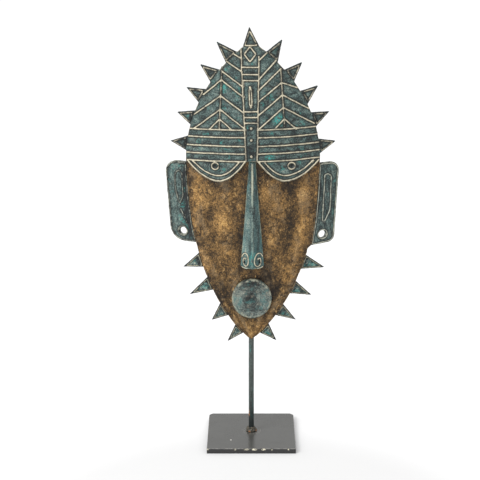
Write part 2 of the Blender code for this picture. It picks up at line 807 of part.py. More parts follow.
# Top, foot and hole as shares of the face's height, width past the face's edge at top and foot,
# outer corner radii, the foot's slant and the hole's distance from the face's edge
EARS = {
    -1: dict(top=0.9806, foot=0.5357, hole=0.5937, wide_top=LEFT_EAR_TOP_WIDTH, wide_foot=LEFT_EAR_FOOT_WIDTH,
             round_top=LEFT_EAR_TOP_ROUND, round_foot=LEFT_EAR_FOOT_ROUND, slant=0.0,
             hole_out=LEFT_EAR_HOLE_FROM_FACE),
    1: dict(top=0.9708, foot=0.5236, hole=0.5720, wide_top=RIGHT_EAR_TOP_WIDTH, wide_foot=RIGHT_EAR_FOOT_WIDTH,
            round_top=RIGHT_EAR_TOP_ROUND, round_foot=RIGHT_EAR_FOOT_ROUND, slant=EAR_FOOT_SLANT,
            hole_out=RIGHT_EAR_HOLE_FROM_FACE),
}


def face_side(side, z):
    return abs(face_edge(side, z))


def ear_frame(side):
    """Height of the ear's top and foot, and x of its outer edge at both, as if on the right."""
    ear = EARS[side]
    top = CHIN_HEIGHT + FACE_RISE * ear["top"]
    foot = CHIN_HEIGHT + FACE_RISE * ear["foot"]
    return top, foot, face_side(side, top) + ear["wide_top"], face_side(side, foot) + ear["wide_foot"]


def ear_hole(side):
    z = CHIN_HEIGHT + FACE_RISE * EARS[side]["hole"]
    return (face_side(side, z) + EARS[side]["hole_out"], z)


def rounded_corner(corner, before, after, radius, count=5):
    """An arc that replaces the corner between two straight sides."""
    corner, before, after = Vector(corner), Vector(before), Vector(after)
    one = (before - corner).normalized()
    two = (after - corner).normalized()
    half = one.angle(two) / 2
    start = corner + one * radius / math.tan(half)
    end = corner + two * radius / math.tan(half)
    centre = corner + (one + two).normalized() * radius / math.sin(half)
    points = []
    for index in range(count + 1):
        direction = ((start - centre).lerp(end - centre, index / count)).normalized()
        points.append(tuple(centre + direction * radius))
    return points


def ear_outline(side):
    ear = EARS[side]
    top, foot, wide_top, wide_foot = ear_frame(side)
    inner_top = (face_side(side, top) - EAR_TUCK, top)
    inner_foot = (face_side(side, foot - ear["slant"]) - EAR_TUCK, foot - ear["slant"])
    outer_top = (wide_top, top)
    outer_foot = (wide_foot, foot)
    outer = resample([inner_foot] + rounded_corner(outer_foot, inner_foot, outer_top, ear["round_foot"])
                     + rounded_corner(outer_top, outer_foot, inner_top, ear["round_top"]) + [inner_top], 0.012)
    count = 9
    heights = [top + (foot - top) * index / count for index in range(1, count)]
    return outer, [(face_side(side, z) - EAR_TUCK, z) for z in heights]


def ear_relief(side):
    """The rim thread, the long loop, the left ear's crease and the ring round the hole."""
    ear = EARS[side]
    top, foot, wide_top, wide_foot = ear_frame(side)
    rim = THREAD_WIDTH / 2 + EAR_RIM_MARGIN
    inner = THREAD_WIDTH * 0.8
    outer_top = (wide_top - rim, top - rim)
    outer_foot = (wide_foot - rim, foot + rim)
    inner_top = (face_side(side, top) + inner, top - rim)
    inner_foot = (face_side(side, foot) + inner, foot + rim - ear["slant"])
    line = ([inner_foot] + rounded_corner(outer_foot, inner_foot, outer_top, ear["round_foot"] - rim, 5)
            + rounded_corner(outer_top, outer_foot, inner_top, ear["round_top"] - rim, 5) + [inner_top])
    for index in range(1, 7):
        z = top + (foot - top) * index / 7
        line.append((face_side(side, z) + inner, z))
    relief = Relief()
    relief.thread(line, closed=True)
    relief.thread(on_ear(side, EAR_LOOPS[side]), closed=True, width=THREAD_WIDTH * 0.85)
    if side < 0:
        relief.thread(on_ear(side, EAR_CREASE), width=THREAD_WIDTH * 0.7)
    ring = EAR_HOLE_DIAMETER / 2 + EAR_RING_WIDTH / 2 + LAP_GAP
    relief.thread(circle(ear_hole(side), ring, 16), closed=True, width=EAR_RING_WIDTH)
    return relief


# The long loops in the ears: shares of the height from the top, and of the width from the face's side
EAR_LOOPS = {
    -1: [(0.140, 0.515), (0.112, 0.360), (0.151, 0.260), (0.288, 0.260), (0.424, 0.280), (0.527, 0.440),
         (0.493, 0.515), (0.405, 0.565), (0.307, 0.595), (0.200, 0.585)],
    1: [(0.155, 0.310), (0.140, 0.460), (0.173, 0.630), (0.333, 0.650), (0.498, 0.680), (0.603, 0.680),
        (0.726, 0.490), (0.726, 0.370), (0.626, 0.355), (0.498, 0.330), (0.333, 0.330), (0.206, 0.315)],
}
# The crease below the left ear's loop, in the same shares
EAR_CREASE = [(0.590, 0.450), (0.690, 0.330), (0.775, 0.215)]


def on_ear(side, shares):
    top, foot, wide_top, wide_foot = ear_frame(side)
    points = []
    for down, out in shares:
        z = top + (foot - top) * down
        inner = face_side(side, z)
        points.append((inner + (wide_top + (wide_foot - wide_top) * down - inner) * out, z))
    return points


def make_ear(name, side, material):
    outer, inner = ear_outline(side)
    relief = ear_relief(side)
    hole = circle(ear_hole(side), EAR_HOLE_DIAMETER / 2, 16)

    def mirrored(points):
        return [(side * x, z) for x, z in points]

    outline = mirrored(outer + inner)
    lines = [(mirrored(line), closed) for line, closed in relief.lines()]
    front = FACE_WALL + LAP_GAP
    plate(name, material, outline, front, front + EAR_WALL, holes=[mirrored(hole)], lines=lines,
          rise=lambda point: relief.height((side * point[0], point[1])))


# Rays below the cheeks

# Place up the face as a share of its height, fall below level in degrees, and reach and base
# as shares of the headdress rays'
JAW_RAYS = {
    -1: [(0.441, 27, 1.20, 1.05), (0.311, 33, 1.44, 0.99), (0.169, 44, 1.03, 1.04), (0.060, 49, 1.06, 0.82)],
    1: [(0.428, 21, 1.38, 1.07), (0.289, 28, 1.27, 0.99), (0.165, 35, 1.20, 0.96), (0.062, 47, 1.05, 0.91)],
}


def make_jaw_ray(name, side, share, fall, reach, base, material):
    z = CHIN_HEIGHT + FACE_RISE * share
    low, tip, high = ray_corners(face_edge, side, z, -fall, base * RAY_BASE, reach * RAY_REACH)
    turn = math.radians(fall)
    inward = (-side * JAW_RAY_TUCK * math.cos(turn), JAW_RAY_TUCK * math.sin(turn))
    tuck_low = (low[0] + inward[0], low[1] + inward[1])
    tuck_high = (high[0] + inward[0], high[1] + inward[1])
    outline = [tuck_low, low, tip, high, tuck_high]
    if side < 0:
        outline.reverse()
    relief = Relief()
    relief.thread(shrink_triangle([low, tip, high], RAY_FRAME), closed=True, width=RAY_THREAD_WIDTH)
    front = FACE_WALL + LAP_GAP
    plate(name, material, outline, front, front + JAW_RAY_WALL, lines=relief.lines(), rise=relief.height)


# Stand

def make_rod(material):
    low = PLATE_THICKNESS + JOINT_GAP
    high = BROW_HEIGHT - ROD_BELOW_BROW
    mesh = bmesh.new()
    bmesh.ops.create_cone(mesh, cap_ends=True, segments=16, radius1=ROD_DIAMETER / 2, radius2=ROD_DIAMETER / 2,
                          depth=high - low)
    bmesh.ops.translate(mesh, verts=mesh.verts, vec=(0.0, 0.0, (high + low) / 2))
    finish("rod", material, mesh, smooth=True)


def make_foot_weld(material):
    """A lumpy ring of braze round the rod's foot."""
    bore = ROD_DIAMETER / 2 + JOINT_GAP
    radius = BEAD_DIAMETER / 2
    low = PLATE_THICKNESS + JOINT_GAP
    profile = [(bore, 0.0), (radius, 0.0), (radius * 0.95, BEAD_HEIGHT * 0.30),
               (radius * 0.78, BEAD_HEIGHT * 0.62), (bore + radius * 0.19, BEAD_HEIGHT * 0.90), (bore, BEAD_HEIGHT)]
    count = 18
    mesh = bmesh.new()
    rings = []
    for index in range(count):
        turn = 2 * math.pi * index / count
        lump = 1.0 + 0.07 * math.sin(3 * turn + 0.6) + 0.05 * math.sin(5 * turn + 2.0)
        ring = []
        for out, up in profile:
            reach = bore + (out - bore) * lump
            ring.append(mesh.verts.new((reach * math.cos(turn), reach * math.sin(turn), low + up)))
        rings.append(ring)
    for ring, following in zip(rings, rings[1:] + rings[:1]):
        for index in range(len(profile)):
            after = (index + 1) % len(profile)
            mesh.faces.new([ring[index], following[index], following[after], ring[after]])
    finish("foot_weld", material, mesh, smooth=True)


def make_base_plate(material):
    half = PLATE_SIDE / 2
    clip = PLATE_CORNER_CLIP
    corners = [(-half, -half), (half, -half), (half, half - clip), (half - clip, half), (clip - half, half),
               (-half, half - clip)]
    mesh = bmesh.new()
    floor = mesh.faces.new([mesh.verts.new((x, y, 0.0)) for x, y in reversed(corners)])
    made = bmesh.ops.extrude_face_region(mesh, geom=[floor], use_keep_orig=True)
    lifted = [item for item in made["geom"] if isinstance(item, bmesh.types.BMVert)]
    bmesh.ops.translate(mesh, verts=lifted, vec=(0.0, 0.0, PLATE_THICKNESS))
    bmesh.ops.recalc_face_normals(mesh, faces=mesh.faces)
    item = finish("base_plate", material, mesh)
    bevel = item.modifiers.new("edge", "BEVEL")
    bevel.width = PLATE_EDGE_BEVEL
    bevel.segments = 1
    bevel.limit_method = "ANGLE"


def main():
    clear_scene()
    verdigris = make_material("verdigris_bronze", (0.12, 0.22, 0.21), 0.55, 0.6)
    bronze = make_material("brown_bronze", (0.40, 0.24, 0.11), 0.42, 0.9)
    dish = make_material("grey_green_bronze", (0.16, 0.25, 0.24), 0.50, 0.6)
    rod_skin = make_material("dark_rod_patina", (0.10, 0.13, 0.12), 0.50, 0.7)
    black = make_material("black_enamel", (0.03, 0.03, 0.03), 0.45, 0.0)
    braze = make_material("braze", (0.30, 0.20, 0.12), 0.50, 0.8)
    make_face(bronze)
    make_headdress(verdigris)
    make_nose(verdigris)
    make_mouth(dish)
    make_ear("ear_left", -1, verdigris)
    make_ear("ear_right", 1, verdigris)
    for side, word in ((-1, "left"), (1, "right")):
        for number, (share, fall, reach, base) in enumerate(JAW_RAYS[side], start=1):
            make_jaw_ray(f"jaw_ray_{word}_{number}", side, share, fall, reach, base, verdigris)
    make_rod(rod_skin)
    make_foot_weld(braze)
    make_base_plate(black)


main()
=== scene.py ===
import math

import bmesh
import bpy
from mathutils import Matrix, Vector, noise
from mathutils.kdtree import KDTree


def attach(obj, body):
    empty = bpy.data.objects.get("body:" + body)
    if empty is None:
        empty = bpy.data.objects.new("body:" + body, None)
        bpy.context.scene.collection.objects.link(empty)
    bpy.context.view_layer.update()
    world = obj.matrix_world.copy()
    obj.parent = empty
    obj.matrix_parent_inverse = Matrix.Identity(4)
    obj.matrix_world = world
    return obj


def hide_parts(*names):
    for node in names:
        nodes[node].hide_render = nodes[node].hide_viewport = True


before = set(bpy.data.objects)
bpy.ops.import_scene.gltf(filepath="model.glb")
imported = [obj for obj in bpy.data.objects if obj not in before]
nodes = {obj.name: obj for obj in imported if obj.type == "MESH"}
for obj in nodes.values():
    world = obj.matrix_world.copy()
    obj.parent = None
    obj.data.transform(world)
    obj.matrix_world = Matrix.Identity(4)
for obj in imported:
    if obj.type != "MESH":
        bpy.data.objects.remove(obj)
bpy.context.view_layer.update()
coarse = 1.0
noise.seed_set(7)  # else noise_vector changes with every run
print("frame loaded, nodes:", len(nodes))

# the bowed sheet that the mask follows: y = skinY + x squared / (2 * radius)
bow = dict(skinY=-0.0058, radius=0.165)
mmInMetre = 1000
farOff = 9.0  # far away, in millimetres


# helpers that every piece uses

def deselectAll():
    active = bpy.context.view_layer.objects.active
    if active and active.mode != "OBJECT":
        bpy.ops.object.mode_set(mode="OBJECT")
    bpy.ops.object.select_all(action="DESELECT")


def makeActive(piece):
    deselectAll()
    piece.select_set(True)
    bpy.context.view_layer.objects.active = piece


def applyModifier(piece, name):
    makeActive(piece)
    bpy.ops.object.modifier_apply(modifier=name)


def editAll(piece, *steps):  # steps on the whole mesh, each an operator and its settings
    makeActive(piece)
    bpy.ops.object.mode_set(mode="EDIT")
    bpy.ops.mesh.select_all(action="SELECT")
    for operation, settings in steps:
        operation(**settings)
    bpy.ops.object.mode_set(mode="OBJECT")


def copyNode(nodeName, pieceName, mergeWithin=0.000004):
    piece = bpy.data.objects.new(pieceName, nodes[nodeName].data.copy())
    piece.data.name = pieceName
    bpy.context.scene.collection.objects.link(piece)
    piece.data.materials.clear()
    editAll(piece, (bpy.ops.mesh.remove_doubles, dict(threshold=mergeWithin)))
    return piece


def depthOf(point):  # distance behind the face's skin, square to the bowed sheet
    slope = point.x / bow["radius"]
    return (point.y - bow["skinY"] - point.x ** 2 / (2 * bow["radius"])) / math.hypot(1, slope)


def outwards(point):  # the sheet's front normal at this place
    return Vector((point.x / bow["radius"], -1.0, 0.0)).normalized()


def pointsAlong(edges, step=0.0006):
    points = []
    for edge in edges:
        start, end = edge.verts[0].co, edge.verts[1].co
        count = max(1, math.ceil((end - start).length / step))
        points += [start.lerp(end, index / count) for index in range(count + 1)]
    return points


def treeOf(points):
    tree = KDTree(len(points))
    for index, point in enumerate(points):
        tree.insert(point, index)
    tree.balance()
    return tree


def flat(point):  # the place seen square from the front
    return Vector((point.x, 0.0, point.z))


def nearness(piece, name, tree, farthest=6.0, seen=flat):  # attribute, in millimetres
    away = [tree.find(seen(vertex.co))[2] * mmInMetre for vertex in piece.data.vertices]
    store(piece, name, [min(farthest, distance) for distance in away])


def store(piece, name, values):
    attribute = piece.data.attributes.new(name, "FLOAT", "POINT")
    attribute.data.foreach_set("value", values)


def remesh(piece, voxel):
    modifier = piece.modifiers.new("remesh", "REMESH")
    modifier.mode = "VOXEL"
    modifier.voxel_size = voxel * coarse
    applyModifier(piece, "remesh")


def soften(piece, times, factor=0.5):
    modifier = piece.modifiers.new("soften", "SMOOTH")
    modifier.factor = factor
    modifier.iterations = times
    applyModifier(piece, "soften")


def roughen(piece, kind, size, strength):  # cast or hammered unevenness, square to the surface
    texture = bpy.data.textures.new(piece.name + kind, kind)
    texture.noise_scale = size
    modifier = piece.modifiers.new("roughen", "DISPLACE")
    modifier.texture = texture
    modifier.texture_coords = "LOCAL"
    modifier.strength = strength
    applyModifier(piece, "roughen")


def thin(piece, most):  # fewer triangles where the surface is even
    piece.data.calc_loop_triangles()
    count = len(piece.data.loop_triangles)
    if count > most:
        modifier = piece.modifiers.new("thin", "DECIMATE")
        modifier.ratio = most / count
        applyModifier(piece, "thin")


def joinTo(piece, parts):
    deselectAll()
    for part in parts + [piece]:
        part.select_set(True)
    bpy.context.view_layer.objects.active = piece
    bpy.ops.object.join()


def remake(piece, settings):  # one closed skin with the unevenness of its making
    remesh(piece, settings["voxel"])
    if settings["softening"]:
        soften(piece, settings["softening"])
    for kind, size, strength in settings["unevenness"]:
        roughen(piece, kind, size, strength)
    thin(piece, settings["mostTriangles"])


def handOver(piece, material, nodeName):
    makeActive(piece)
    bpy.ops.object.shade_smooth()
    piece.data.materials.clear()
    piece.data.materials.append(material)
    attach(piece, "root")
    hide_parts(nodeName)
    piece.data.calc_loop_triangles()
    print("piece done:", piece.name, len(piece.data.loop_triangles), "triangles")


# helpers for materials

def srgb(red, green, blue):
    return tuple(((part / 255 + 0.055) / 1.055) ** 2.4 for part in (red, green, blue)) + (1.0,)


def addNode(tree, kind, settings=None, inputs=None):
    made = tree.nodes.new(kind)
    for key, value in (settings or {}).items():
        setattr(made, key, value)
    for key, value in (inputs or {}).items():
        feed(tree, made.inputs[key], value)
    return made


def feed(tree, socket, value):
    if isinstance(value, bpy.types.NodeSocket):
        tree.links.new(value, socket)
    else:
        socket.default_value = value


def objectPoint(tree, stretch=(1.0, 1.0, 1.0), shift=(0.0, 0.0, 0.0)):
    place = addNode(tree, "ShaderNodeTexCoord")
    mapping = addNode(tree, "ShaderNodeMapping",
                      inputs={"Vector": place.outputs["Object"], "Scale": stretch, "Location": shift})
    return mapping.outputs["Vector"]


def ramp(tree, value, low, high):
    made = addNode(tree, "ShaderNodeMapRange", {"interpolation_type": "SMOOTHSTEP"},
                   {"Value": value, "From Min": low, "From Max": high, "To Min": 0.0, "To Max": 1.0})
    return made.outputs["Result"]


def fall(tree, value, low, high):  # one below low, nothing above high
    made = addNode(tree, "ShaderNodeMapRange", {"interpolation_type": "SMOOTHSTEP"},
                   {"Value": value, "From Min": low, "From Max": high, "To Min": 1.0, "To Max": 0.0})
    return made.outputs["Result"]


def grain(tree, point, size, low=0.35, high=0.65, detail=3.0, rough=0.55):  # a mask in patches
    cloud = addNode(tree, "ShaderNodeTexNoise",
                    inputs={"Vector": point, "Scale": 1 / size, "Detail": detail, "Roughness": rough})
    return ramp(tree, cloud.outputs["Fac"], low, high)


def cloudy(tree, point, size, detail=3.0, rough=0.6):  # plain noise round a half
    cloud = addNode(tree, "ShaderNodeTexNoise",
                    inputs={"Vector": point, "Scale": 1 / size, "Detail": detail, "Roughness": rough})
    return cloud.outputs["Fac"]


def sumUp(tree, base, parts):  # base plus weighted values, each counted from its own middle
    total = base - sum(middle * weight for value, middle, weight in parts)
    for value, middle, weight in parts:
        made = addNode(tree, "ShaderNodeMath", {"operation": "MULTIPLY_ADD"}, {0: value, 1: weight, 2: total})
        total = made.outputs[0]
    return total


def colourBand(tree, value, stops):
    made = addNode(tree, "ShaderNodeValToRGB", inputs={"Fac": value})
    band = made.color_ramp.elements
    band.remove(band[1])
    for index, (position, colour) in enumerate(stops):
        stop = band[0] if index == 0 else band.new(position)
        stop.position = position
        stop.color = colour
    return made.outputs["Color"]


def cracks(tree, point, size, width):  # a web of thin curved lines, where the noise is near a half
    away = addNode(tree, "ShaderNodeMath", {"operation": "SUBTRACT"}, {0: cloudy(tree, point, size), 1: 0.5})
    distance = addNode(tree, "ShaderNodeMath", {"operation": "ABSOLUTE"}, {0: away.outputs[0]})
    return fall(tree, distance.outputs[0], width * 0.3, width)


def mixColour(tree, factor, under, over):
    made = addNode(tree, "ShaderNodeMix", {"data_type": "RGBA"}, {0: factor, 6: under, 7: over})
    return made.outputs[2]


def maths(tree, kind, one, two):
    made = addNode(tree, "ShaderNodeMath", {"operation": kind, "use_clamp": True}, {0: one, 1: two})
    return made.outputs[0]


def multiply(tree, product, *masks):  # every step stays between nothing and one
    for mask in masks:
        product = maths(tree, "MULTIPLY", product, mask)
    return product


def paint(tree, under, over, *masks):  # the colour over shows where all its masks do
    return mixColour(tree, multiply(tree, *masks), under, over)


def fromAttribute(tree, name):
    return addNode(tree, "ShaderNodeAttribute", {"attribute_name": name}).outputs["Fac"]


def height(tree):  # of the object's points above the table
    place = addNode(tree, "ShaderNodeTexCoord")
    parts = addNode(tree, "ShaderNodeSeparateXYZ", inputs={"Vector": place.outputs["Object"]})
    return parts.outputs["Z"]


def gap(tree, one, two):
    return addNode(tree, "ShaderNodeVectorMath", {"operation": "DISTANCE"}, {0: one, 1: two}).outputs["Value"]


def awayFrom(tree, centre):  # distance from a point of the object, in metres
    place = addNode(tree, "ShaderNodeTexCoord")
    return gap(tree, place.outputs["Object"], centre)


def newMaterial(name, metallic, specular=0.5):
    material = bpy.data.materials.new(name)
    material.use_nodes = True
    tree = material.node_tree
    shader = tree.nodes["Principled BSDF"]
    shader.inputs["Metallic"].default_value = metallic
    shader.inputs["Specular IOR Level"].default_value = specular
    return material, tree, shader


def finishShader(tree, shader, colour, roughness, bumps):
    feed(tree, shader.inputs["Base Color"], colour)
    feed(tree, shader.inputs["Roughness"], roughness)
    normal = None
    for pattern, distance in bumps:  # finest last
        bump = addNode(tree, "ShaderNodeBump", inputs={"Height": pattern, "Distance": distance})
        if normal:
            tree.links.new(normal, bump.inputs["Normal"])
        normal = bump.outputs["Normal"]
    if normal:
        tree.links.new(normal, shader.inputs["Normal"])


# floor, light and camera

studio = dict(
    floorSide=40.0,
    paperCentre=(0.0, -0.25, 0.0),  # painted shade: the floor is a touch greyer round this place
    paperNear=0.21,
    paperFar=0.36,
    nearGreys=(srgb(224, 224, 224), srgb(227, 227, 227)),
    farGrey=srgb(254, 254, 254),
    paperPatches=0.6,
    paperRoughness=0.9,
    worldStrength=0.78,
    sky=dict(strength=1.15, spread=50.0, tilt=(38.0, -30.0)),
    key=dict(place=(-1.3, -1.2, 1.3), size=0.8, power=16.0),
    fill=dict(place=(1.5, -1.2, 0.9), size=1.4, power=1.5),
    aim=(0.0, 0.0, 0.28),
    cameraPlace=(0.0, -1.4232, 0.6378),
    cameraPitch=15.8,
    sensor=36.0,
    focalPixels=1332.0,
    shiftPixels=-11.3,
    imageSide=480.0,
)


def makeFloor():
    deselectAll()
    bpy.ops.mesh.primitive_plane_add(size=studio["floorSide"], location=(0.0, 0.0, 0.0))
    floor = bpy.context.active_object
    floor.name = "studioFloor"
    material, tree, shader = newMaterial("studioPaper", 0.0, 0.0)
    point = objectPoint(tree)
    # greyer round paperCentre, lighter further off: painted shade on the floor
    back = ramp(tree, awayFrom(tree, studio["paperCentre"]), studio["paperNear"], studio["paperFar"])
    near = mixColour(tree, grain(tree, point, studio["paperPatches"]), *studio["nearGreys"])
    tint = mixColour(tree, back, near, studio["farGrey"])
    finishShader(tree, shader, tint, studio["paperRoughness"], [])
    floor.data.materials.append(material)


def makeLights():
    world = bpy.data.worlds.new("studioWorld")
    world.use_nodes = True
    background = world.node_tree.nodes["Background"]
    background.inputs["Color"].default_value = (1.0, 1.0, 1.0, 1.0)
    background.inputs["Strength"].default_value = studio["worldStrength"]
    bpy.context.scene.world = world
    softSun = bpy.data.lights.new("softSun", "SUN")  # wide and soft, it whitens the whole floor evenly
    softSun.energy = studio["sky"]["strength"]
    softSun.angle = math.radians(studio["sky"]["spread"])
    lightObject = bpy.data.objects.new("softSun", softSun)
    bpy.context.scene.collection.objects.link(lightObject)
    tilt, turn = studio["sky"]["tilt"]
    lightObject.rotation_euler = (math.radians(tilt), 0.0, math.radians(turn))
    for name in ("key", "fill"):
        lamp = studio[name]
        data = bpy.data.lights.new(name + "Light", "AREA")
        data.shape = "SQUARE"
        data.size = lamp["size"]
        data.energy = lamp["power"]
        light = bpy.data.objects.new(name + "Light", data)
        bpy.context.scene.collection.objects.link(light)
        light.location = lamp["place"]
        aim = Vector(studio["aim"]) - light.location
        light.rotation_euler = aim.to_track_quat("-Z", "Y").to_euler()


def makeCamera():
    data = bpy.data.cameras.new("photoCamera")
    data.sensor_width = studio["sensor"]
    data.lens = studio["focalPixels"] / studio["imageSide"] * studio["sensor"]
    data.shift_x = studio["shiftPixels"] / studio["imageSide"]
    camera = bpy.data.objects.new("photoCamera", data)
    bpy.context.scene.collection.objects.link(camera)
    camera.location = studio["cameraPlace"]
    camera.rotation_euler = (math.radians(90.0 - studio["cameraPitch"]), 0.0, 0.0)
    bpy.context.scene.camera = camera


makeFloor()
makeLights()
makeCamera()
bpy.context.scene.view_settings.view_transform = "Standard"
print("floor, lights and camera set")


# verdigris bronze of the headdress, ears, rays and nose

verdigris = dict(
    metallic=0.25,
    roughness=0.55,
    pale=srgb(150, 154, 142),
    black=srgb(18, 23, 23),
    bright=srgb(58, 142, 134),
    band=[(0.0, srgb(16, 22, 22)), (0.26, srgb(44, 58, 57)), (0.46, srgb(76, 96, 93)),
          (0.66, srgb(108, 126, 120)), (0.84, srgb(146, 152, 138)), (1.0, srgb(196, 190, 168))],
    coarseSize=0.011,
    middleSize=0.0034,
    fineSize=0.0011,
    rayTone=-0.06,
    shadeReach=(0.5, 6.0),  # millimetres beyond the face's outline
    shadeTone=-0.26,
    greenSize=0.01,
    greenSpan=0.14,
    greenKept=0.6,
    faintCracks=(0.006, 0.022),  # size and width
    faintKept=0.35,
    splitCracks=(0.0038, 0.08),
    splitGain=2.2,
    frontReach=(-1.8, -1.0),  # millimetres proud of the front, so the back stays plain
    pitReach=(1.3, 2.0),
    keptSize=0.0045,
    waveSize=0.003,
    wave=0.9,  # how far the crests' edges wander, in millimetres
    crestBlur=0.15,
    proudReach=(0.25, 0.6),
    insideReach=(0.9, 1.9),
    lipReach=(0.35, 0.85),
    bumps=(0.0004, 0.00015),
)


def makeVerdigris(name, look):
    look = dict(verdigris, **look)
    material, tree, shader = newMaterial(name, look["metallic"])
    black, bright, blur = look["black"], look["bright"], look["crestBlur"]
    point = objectPoint(tree)
    coarseCloud = cloudy(tree, point, look["coarseSize"])
    middleCloud = cloudy(tree, objectPoint(tree, look["stretch"]), look["middleSize"])
    fineCloud = cloudy(tree, point, look["fineSize"], 2.0)
    ray, patches, thread, rim, upright, proud, pit, beside = [fromAttribute(tree, layer) for layer in (
        "ray", "tone", "thread", "rim", "upright", "proud", "pit", "beside")]
    shade = fall(tree, beside, *look["shadeReach"])
    front = ramp(tree, proud, *look["frontReach"])
    tone = sumUp(tree, look["base"], [
        (coarseCloud, 0.5, look["coarse"]), (middleCloud, 0.5, look["middle"]),
        (fineCloud, 0.5, look["fine"]), (ray, 0.0, look["rayTone"]), (shade, 0.0, look["shadeTone"]),
        (patches, 0.0, 1.0)])
    colour = colourBand(tree, tone, look["band"])
    green = grain(tree, objectPoint(tree, shift=(0.3, 0.1, 0.7)), look["greenSize"],
                  look["greenFrom"], look["greenFrom"] + look["greenSpan"])
    colour = paint(tree, colour, bright, green, grain(tree, point, 0.002, 0.42, 0.6), look["greenKept"])
    for centre, inner, outer in look["patches"]:
        patch = fall(tree, awayFrom(tree, centre), inner, outer)
        colour = paint(tree, colour, bright, patch, grain(tree, point, 0.0018, 0.38, 0.56))
    faint = cracks(tree, objectPoint(tree, shift=(0.9, 0.3, 0.4)), *look["faintCracks"])
    faint = multiply(tree, faint, grain(tree, point, 0.012, 0.44, 0.58))
    colour = paint(tree, colour, look["pale"], faint, look["faintKept"])
    split = cracks(tree, objectPoint(tree, (1.0, 1.0, 0.2)), *look["splitCracks"])
    colour = paint(tree, colour, black, split, multiply(tree, shade, look["splitGain"]))
    halo = fall(tree, thread, look["haloFrom"], look["haloTo"])  # darker beside the threads: painted shade, with dark patina in the crevices
    colour = paint(tree, colour, black, halo, look["haloDepth"], front)
    colour = paint(tree, colour, black, fall(tree, pit, *look["pitReach"]))
    kept = sumUp(tree, look["crestKept"], [
        (cloudy(tree, point, look["keptSize"]), 0.5, 2.2), (fineCloud, 0.5, 1.2),
        (patches, 0.0, look["crestTone"]), (upright, 0.0, look["uprightLoss"]), (ray, 0.0, look["rayLoss"])])
    waves = cloudy(tree, point, look["waveSize"])
    wavy = sumUp(tree, 0.0, [(thread, 0.0, 1.0), (waves, 0.5, look["wave"])])
    crest = fall(tree, wavy, look["crestHalf"] - blur, look["crestHalf"] + blur)
    worn = multiply(tree, crest, kept, ramp(tree, proud, *look["proudReach"]))
    colour = paint(tree, colour, look["crest"], worn)
    inside = fall(tree, rim, *look["insideReach"])
    colour = paint(tree, colour, black, inside, look["rimDark"], front, fall(tree, worn, 0.0, 0.2))
    lip = fall(tree, rim, *look["lipReach"])
    lip = multiply(tree, lip, grain(tree, point, 0.005, 0.36, 0.58), look["rimWear"])
    colour = paint(tree, colour, look["crest"], lip, front, maths(tree, "SUBTRACT", 1.0, ray))
    bumps = zip((middleCloud, fineCloud), look["bumps"])
    finishShader(tree, shader, colour, look["roughness"], bumps)
    return material


# threads: the ridges of a casting become round wires that are melted into it

wire = dict(
    leastProud=0.00085,  # ridges that stand less proud than this stay as they are
    ridgeAngle=35.0,
    sink=0.00042,
    cuts=3,
    smoothing=1,
    sway=0.0003,
    swaySize=0.009,
    reach=0.004,
    reachShare=0.95,
    overEdge=0.0012,
    bandHalf=0.02,  # within the middle band upright wires are less worn off
    bandShare=0.45,
    steepFrom=0.9,
    steepSpan=0.08,
)
outline = dict(edgeOn=0.3, faceOn=0.5, frontSlack=0.0009, pitSlack=0.0012)
dome = dict(brow=0.3255, crown=0.456, leftHalf=0.0705, rightHalf=0.0742, fullness=0.85, rayFade=2.0)
faceShape = dict(centreX=0.0011, chin=0.1198, brow=0.3255, halfWidth=0.072, least=0.02, rounding=2.65,
                 fullness=0.86)


def takeWires(piece, frontDepth, least=wire["leastProud"], angle=wire["ridgeAngle"], keep=None, rimTree=None,
              edgeGap=None):
    wires = piece.copy()
    wires.data = piece.data.copy()
    wires.name = piece.name + "Wires"
    bpy.context.scene.collection.objects.link(wires)
    mesh = bmesh.new()
    mesh.from_mesh(wires.data)
    ridges = []
    for edge in mesh.edges:
        if len(edge.link_faces) != 2 or edge.calc_face_angle_signed(0.0) < math.radians(angle):
            continue
        if all(frontDepth - depthOf(vertex.co) > least for vertex in edge.verts):
            if keep is None or keep((edge.verts[0].co + edge.verts[1].co) / 2):
                ridges.append(edge)
    keptEdges = set(ridges)
    bmesh.ops.delete(mesh, geom=mesh.faces[:], context="FACES_ONLY")
    bmesh.ops.delete(mesh, geom=[edge for edge in mesh.edges if edge not in keptEdges], context="EDGES")
    bmesh.ops.delete(mesh, geom=[vertex for vertex in mesh.verts if not vertex.link_edges], context="VERTS")
    for vertex in mesh.verts:
        vertex.co -= outwards(vertex.co) * wire["sink"]
    for vertex in [vertex for vertex in mesh.verts if rimTree and len(vertex.link_edges) == 1]:
        reach = rimTree.find(flat(vertex.co))[2]  # a wire that stops short of the edge runs on to it
        if edgeGap:
            reach = min(reach, max(0.0, edgeGap(vertex.co)) + wire["overEdge"])
        if reach < wire["reach"]:
            along = vertex.co - vertex.link_edges[0].other_vert(vertex).co
            end = vertex.co + along.normalized() * reach * wire["reachShare"]
            end += outwards(end) * (depthOf(end) - depthOf(vertex.co))
            mesh.edges.new((vertex, mesh.verts.new(end)))
    mesh.to_mesh(wires.data)
    mesh.free()
    editAll(wires, (bpy.ops.mesh.subdivide, dict(number_cuts=wire["cuts"])),
            (bpy.ops.mesh.vertices_smooth, dict(factor=0.5, repeat=wire["smoothing"])))
    for vertex in wires.data.vertices:
        shove = noise.noise_vector(vertex.co / wire["swaySize"])
        vertex.co += Vector((shove.x, 0.0, shove.z)) * wire["sway"]
    return wires


def edgePoints(piece):
    mesh = bmesh.new()
    mesh.from_mesh(piece.data)
    points = pointsAlong(mesh.edges)
    mesh.free()
    return points


